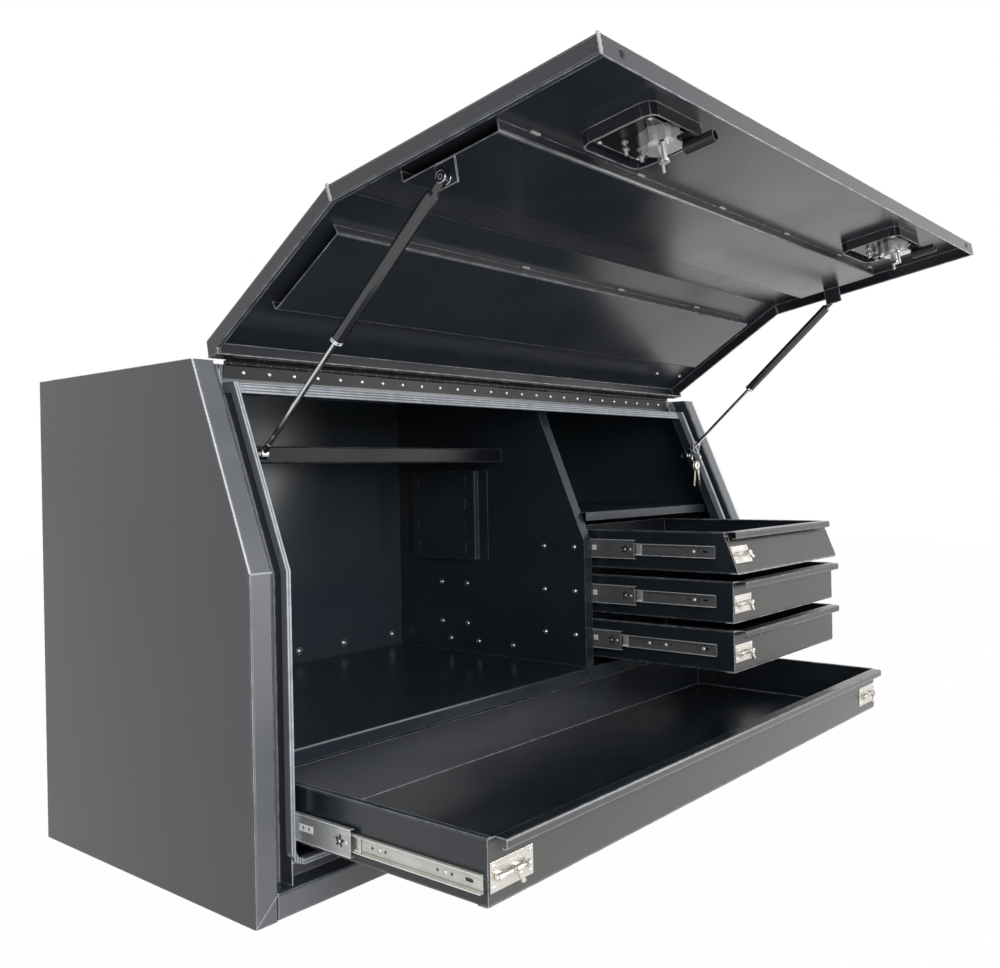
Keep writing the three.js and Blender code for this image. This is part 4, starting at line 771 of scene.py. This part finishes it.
key_hang = ring_centre + Vector((0.0, 0.0, -0.0120))
key_places = [Matrix.Translation(key_hang + Vector((0.0, key_shift, 0.0))) @ Matrix.Rotation(key_turn, 4, "Y")
              @ Matrix.Rotation(math.pi / 2, 4, "X") @ Matrix.Translation((0.0, -0.0085, -0.001))
              for key_turn, key_shift in ((-0.22, -0.0026), (0.16, 0.0012))]
shown(repeated(cut_key(), key_places), "hung_keys", key_nickel, "keys")

# Drawers: open boxes folded from one sheet, with a separate front whose top edge is rolled into a pull that
# stops short of both ends. One black coat. The faces that look forward on the front sheets are painted a
# separate tint, a painted light: warmer on the small fronts and paler on the wide one, which faces the light.
# The edges, the pull's among them, are painted pale, partly wear and partly a painted highlight, and the wide
# drawer's right end is painted bright bare metal, a painted highlight.
small_drawers, all_drawers = ("top", "centre", "low"), ("top", "centre", "low", "wide")
front_from, highlight_from = 0.54, 0.6512
for drawer_coat_name, front_tint, coated in (
        ("small_drawer_black_coat", (0.026, 0.024, 0.021, 1.0), small_drawers),
        ("wide_drawer_black_coat", (0.066, 0.065, 0.062, 1.0), ("wide",))):
    drawer_coat = powder_coat(drawer_coat_name, (0.008, 0.011, 0.015), (0.017, 0.022, 0.029),
                              (0.74, 0.77, 0.82), (0.2, 0.32), waves=0.03, edge_width=0.0019, coat=0.1,
                              gloss=0.5, second=(0.05, 0.05, 0.05))
    drawer_tree = drawer_coat.node_tree
    # Painted light: forward faces on the front sheet get the front tint; other forward faces stay dark.
    front_sheet = placed(drawer_tree, beyond, ("Here", (0.014, 0.018, 0.024, 1.0)), ("There", front_tint),
                         ("Direction", (0.0, -1.0, 0.0)), ("Limit", front_from))
    wired(drawer_tree, (front_sheet, "Color", found(drawer_tree, faced), "Second"))
    # Painted highlight: the wide drawer's right end is painted bright metal.
    painted_beyond(drawer_coat, (1.0, 0.0, 0.0), highlight_from, (0.58, 0.57, 0.53), 0.0, 0.6)
    finish_node(drawer_coat, *[f"drawer_{drawer}" for drawer in coated])

# Ball slides: three telescoping members of rolled, zinc-plated steel on each side, with curled lips, long
# polishing streaks and punched holes. The balls run in a cage at the middle member's front, which also has a
# star-shaped black catch on two rivets and a flat white clip.
rolled = (420.0, 7.0, 420.0)
slide_zinc = plated("slide_zinc", (0.26, 0.27, 0.27), (0.66, 0.67, 0.66), (0.18, 0.34), rolled,
                    metal=0.6, edge=0.9)
slide_inner_zinc = plated("slide_inner_zinc", (0.36, 0.36, 0.33), (0.78, 0.77, 0.70), (0.16, 0.3), rolled,
                          metal=0.55, edge=1.0)
slide_shade = plated("slide_zinc_in_shade", (0.09, 0.095, 0.10), (0.34, 0.35, 0.35), (0.14, 0.28), rolled,
                     metal=0.6, edge=1.0)
support_mix = plated("slide_and_support", (0.26, 0.27, 0.27), (0.66, 0.67, 0.66), (0.18, 0.34), rolled)
painted_beyond(support_mix, (1.0, 0.0, 0.0), 0.66435, (0.014, 0.017, 0.022), 0.6, 0.0)
black_nylon = nylon("catch_black_nylon", (0.008, 0.008, 0.009), (0.022, 0.022, 0.024), 400.0, 0.4)
for drawer in all_drawers:
    in_shade = drawer in small_drawers
    finish_node(slide_zinc, f"slide_outer_{drawer}", f"slide_middle_{drawer}_right")
    finish_node(slide_shade if in_shade else slide_zinc, f"slide_middle_{drawer}_left")
    finish_node(slide_shade if in_shade else slide_inner_zinc, f"slide_inner_{drawer}")
finish_node(support_mix, "slide_support_right", "slide_support_upper")


def star_catch(reach, thickness):
    bpy.ops.object.select_all(action="DESELECT")
    bpy.ops.mesh.primitive_cylinder_add(vertices=20, radius=reach, depth=thickness,
                                        location=(0.0, 0.0, thickness / 2))
    star = bpy.context.object
    bpy.ops.object.mode_set(mode="EDIT")
    bpy.ops.mesh.select_mode(type="VERT")
    bpy.ops.mesh.select_all(action="DESELECT")
    bpy.ops.object.mode_set(mode="OBJECT")
    for corner in star.data.vertices:
        turn = round(math.atan2(corner.co.y, corner.co.x) / (math.pi / 10))
        corner.select = turn % 4 in (2, 3)
    bpy.ops.object.mode_set(mode="EDIT")
    bpy.ops.transform.resize(value=(0.52, 0.52, 1.0), center_override=(0.0, 0.0, 0.0))
    bpy.ops.object.mode_set(mode="OBJECT")
    only(star)
    bpy.ops.object.shade_smooth_by_angle(angle=math.radians(30))
    return star


def eased(plate, offset):
    bpy.ops.object.mode_set(mode="EDIT")
    bpy.ops.mesh.select_all(action="SELECT")
    bpy.ops.mesh.bevel(offset=offset, segments=2, affect="EDGES")
    bpy.ops.object.mode_set(mode="OBJECT")
    return plate


def ball_cage(height, run):
    cage = eased(slab((height, run, 0.0012)), 0.0004)
    balls = []
    for side in (-1.0, 1.0):
        for step in range(4):
            bpy.ops.mesh.primitive_uv_sphere_add(segments=12, ring_count=8, radius=0.0017, location=(
                side * height * 0.44, (step - 1.5) * run * 0.24, 0.0009))
            balls.append(bpy.context.object)
    joined(cage, *balls)
    bpy.ops.object.shade_smooth_by_angle(angle=math.radians(40))
    return cage


def round_bar(radius, length):
    bpy.ops.object.select_all(action="DESELECT")
    bpy.ops.mesh.primitive_cylinder_add(vertices=24, radius=radius, depth=length,
                                        location=(0.0, 0.0, length / 2))
    bar = bpy.context.object
    bpy.ops.object.transform_apply(location=True, rotation=True, scale=True)
    softened(bar, radius * 0.35, 3)
    bpy.ops.object.shade_smooth_by_angle(angle=math.radians(30))
    return bar


def nylon_clip(height, run, thickness):
    clip = slab((height, run, thickness))
    for place in (-0.2, 0.2):
        cut_away(clip, slab((height * 0.5, run * 0.18, thickness * 3.0), (0.0, place * run, 0.0)))
    softened(clip, thickness * 0.3, 2)
    return clip


outward = (-1.0, 0.0, 0.0)
catch_run, rivet_run, cage_run, lip_radius, lip_end = 0.0215, 0.0090, 0.0068, 0.0007, 0.0005
short_clip, long_clip = (-0.2510, 0.0100), (-0.3200, 0.0300)
for drawer, screw_runs, (clip_y, clip_run) in (
        ("top", (0.046,), short_clip), ("centre", (0.046,), short_clip),
        ("low", (0.028, 0.112, 0.150), short_clip), ("wide", (0.062, 0.182), long_clip)):
    member_low, member_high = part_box(f"slide_middle_{drawer}_left")
    runner_low, runner_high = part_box(f"slide_inner_{drawer}")
    middle_body, drawer_body = f"middle_{drawer}", f"drawer_{drawer}_body"
    slide_z = (member_low.z + member_high.z) / 2
    web_x, nose_y, face_x = member_low.x, member_low.y, runner_high.x - 0.0013
    # Each curled lip is a thin round bar in the bright rivet finish, paler than the slide's own zinc: a painted
    # highlight along the lip.
    for lip_name, lip_body, lip_x, lip_rise, lip_from, lip_to in (
            ("middle", middle_body, web_x + 0.0001, member_high.z - slide_z - 0.0010, nose_y, member_high.y),
            ("inner", drawer_body, runner_low.x, runner_high.z - slide_z - 0.0011, runner_low.y,
             runner_high.y)):
        shown(repeated(round_bar(lip_radius, lip_to - lip_from - 2.0 * lip_end), [
            standing((lip_x, lip_from + lip_end, slide_z + way * lip_rise), (0.0, 1.0, 0.0))
            for way in (-1.0, 1.0)]),
            f"slide_lips_{lip_name}_{drawer}", rivet_bright, lip_body)
    shown(repeated(star_catch(0.0088, 0.0009), [standing((web_x, nose_y + catch_run, slide_z), outward)]),
          f"slide_catch_{drawer}", black_nylon, middle_body)
    shown(repeated(rivet_head(0.0027, 0.0010), [
        standing((web_x - 0.0001, nose_y + catch_run, slide_z), outward),
        standing((web_x + 0.0001, nose_y + rivet_run, slide_z), outward)]),
        f"slide_catch_rivets_{drawer}", rivet_bright, middle_body)
    shown(repeated(ball_cage(0.0225, 0.0130), [
        standing((face_x - 0.0012, nose_y - cage_run, slide_z), outward, math.pi / 2)]),
        f"slide_ball_cage_{drawer}", slide_inner_zinc, middle_body)
    shown(repeated(nylon_clip(0.0100, clip_run, 0.0009), [
        standing((web_x - 0.0004, clip_y, slide_z + 0.002), outward, math.pi / 2)]),
        f"slide_white_clip_{drawer}", tie_nylon, middle_body)
    shown(repeated(cross_screw(0.0035, 0.0018), [
        standing((face_x, runner_low.y + run, slide_z), outward, run * 9.0) for run in screw_runs]),
        f"slide_screws_{drawer}", rivet_bright, drawer_body)
    mark_runs = [run + 0.014 for run in screw_runs] + [run - 0.011 for run in screw_runs]
    shown(repeated(star_catch(0.0028, 0.0003), [
        standing((face_x, runner_low.y + run, slide_z), outward, run * 5.0) for run in mark_runs]),
        f"slide_punched_marks_{drawer}", black_nylon, drawer_body)

# Barrel bolts: one at the left of each small drawer and one at each end of the wide one. Pressed stainless
# plates, brushed and a little warm in tone, on a flange with four screws. The bolt has a round-ended knob and
# a turned-down lever, and its nose runs through two keeper rings.
bolt_steel = plated("bolt_stainless", (0.52, 0.49, 0.44), (0.84, 0.80, 0.74), (0.18, 0.32), (8.0, 300.0, 300.0),
                    metal=0.7, edge=0.8)
front_tilt = -math.atan2(0.031, 0.080)
bolt_axis, knob_x, knob_tip, plate_gap = 0.0055, 0.034, 0.0175, 0.0003
flange_left, flange_thick, screw_inset = -0.0045, 0.0008, 0.006
rod_start, rod_end, nose_start = 0.0020, 0.0540, 0.050
bolt_seats = {
    "top": Matrix.Translation((0.1836, -0.55945, 0.459)) @ Matrix.Rotation(front_tilt, 4, "X"),
    "centre": Matrix.Translation((0.1836, -0.561, 0.365)),
    "low": Matrix.Translation((0.1836, -0.561, 0.271)),
    "wide_left": Matrix.Translation((-0.6431, -0.651, 0.130)),
    "wide_right": Matrix.Translation((0.6431, -0.651, 0.130)) @ Matrix.Scale(-1.0, 4, (1.0, 0.0, 0.0)),
}


def on_axis(seat, run, way):
    return standing(seat @ Vector((run, -bolt_axis, 0.0)), (way, 0.0, 0.0))


for bolt, seat in bolt_seats.items():
    drawer = bolt.split("_")[0]
    bolt_body, drawer_body = f"bolt_{bolt}", f"drawer_{drawer}_body"
    flange_long, flange_high, nose_end = (0.084, 0.038, 0.066) if drawer == "wide" else (0.070, 0.034, 0.058)
    tilt = Matrix.Rotation(front_tilt if bolt == "top" else 0.0, 4, "X")
    side = -1.0 if bolt == "wide_right" else 1.0
    finish_node(bolt_steel, f"bolt_plate_{bolt}", f"bolt_rod_{bolt}")
    flange = eased(slab((flange_long, flange_thick, flange_high)), flange_thick * 0.4)
    flange_places = [seat @ Matrix.Translation((
        flange_left + flange_long / 2, -plate_gap - flange_thick / 2, 0.0))]
    screw_places = [
        Matrix.Translation(seat @ Vector((x, -plate_gap - flange_thick, z))) @ tilt
        @ standing((0.0, 0.0, 0.0), (0.0, -1.0, 0.0), x * 70.0)
        for x in (flange_left + screw_inset, flange_left + flange_long - screw_inset)
        for z in (screw_inset - flange_high / 2, flange_high / 2 - screw_inset)]
    knob_place = Matrix.Translation(seat @ Vector((knob_x, -knob_tip, 0.0))) @ tilt
    lever_place = knob_place @ standing((0.0, 0.0026, 0.0), (0.45 * side, -0.15, -0.88))
    for part_name, part, finish, body, part_places in (
            ("flange", flange, bolt_steel, drawer_body, flange_places),
            ("screws", cross_screw(0.0032, 0.0013), rivet_bright, drawer_body, screw_places),
            ("knob", rivet_head(0.0036, 0.0026), bolt_steel, bolt_body,
             [knob_place @ standing((0.0, 0.0, 0.0), (0.0, -1.0, 0.0))]),
            ("lever", round_bar(0.0034, 0.0150), bolt_steel, bolt_body, [lever_place]),
            ("nose", round_bar(0.0023, nose_end - nose_start), bolt_steel, bolt_body,
             [on_axis(seat, nose_start, side)]),
            ("keeper", hoop(0.0048, 0.0010, 24, 8), bolt_steel, drawer_body,
             [on_axis(seat, nose_end - 0.004, 1.0), on_axis(seat, nose_end - 0.0015, 1.0)]),
            ("tips", rivet_head(0.0030, 0.0012), rivet_bright, bolt_body,
             [on_axis(seat, rod_start, -side), on_axis(seat, rod_end, side)])):
        shown(repeated(part, part_places), f"bolt_{part_name}_{bolt}", finish, body)
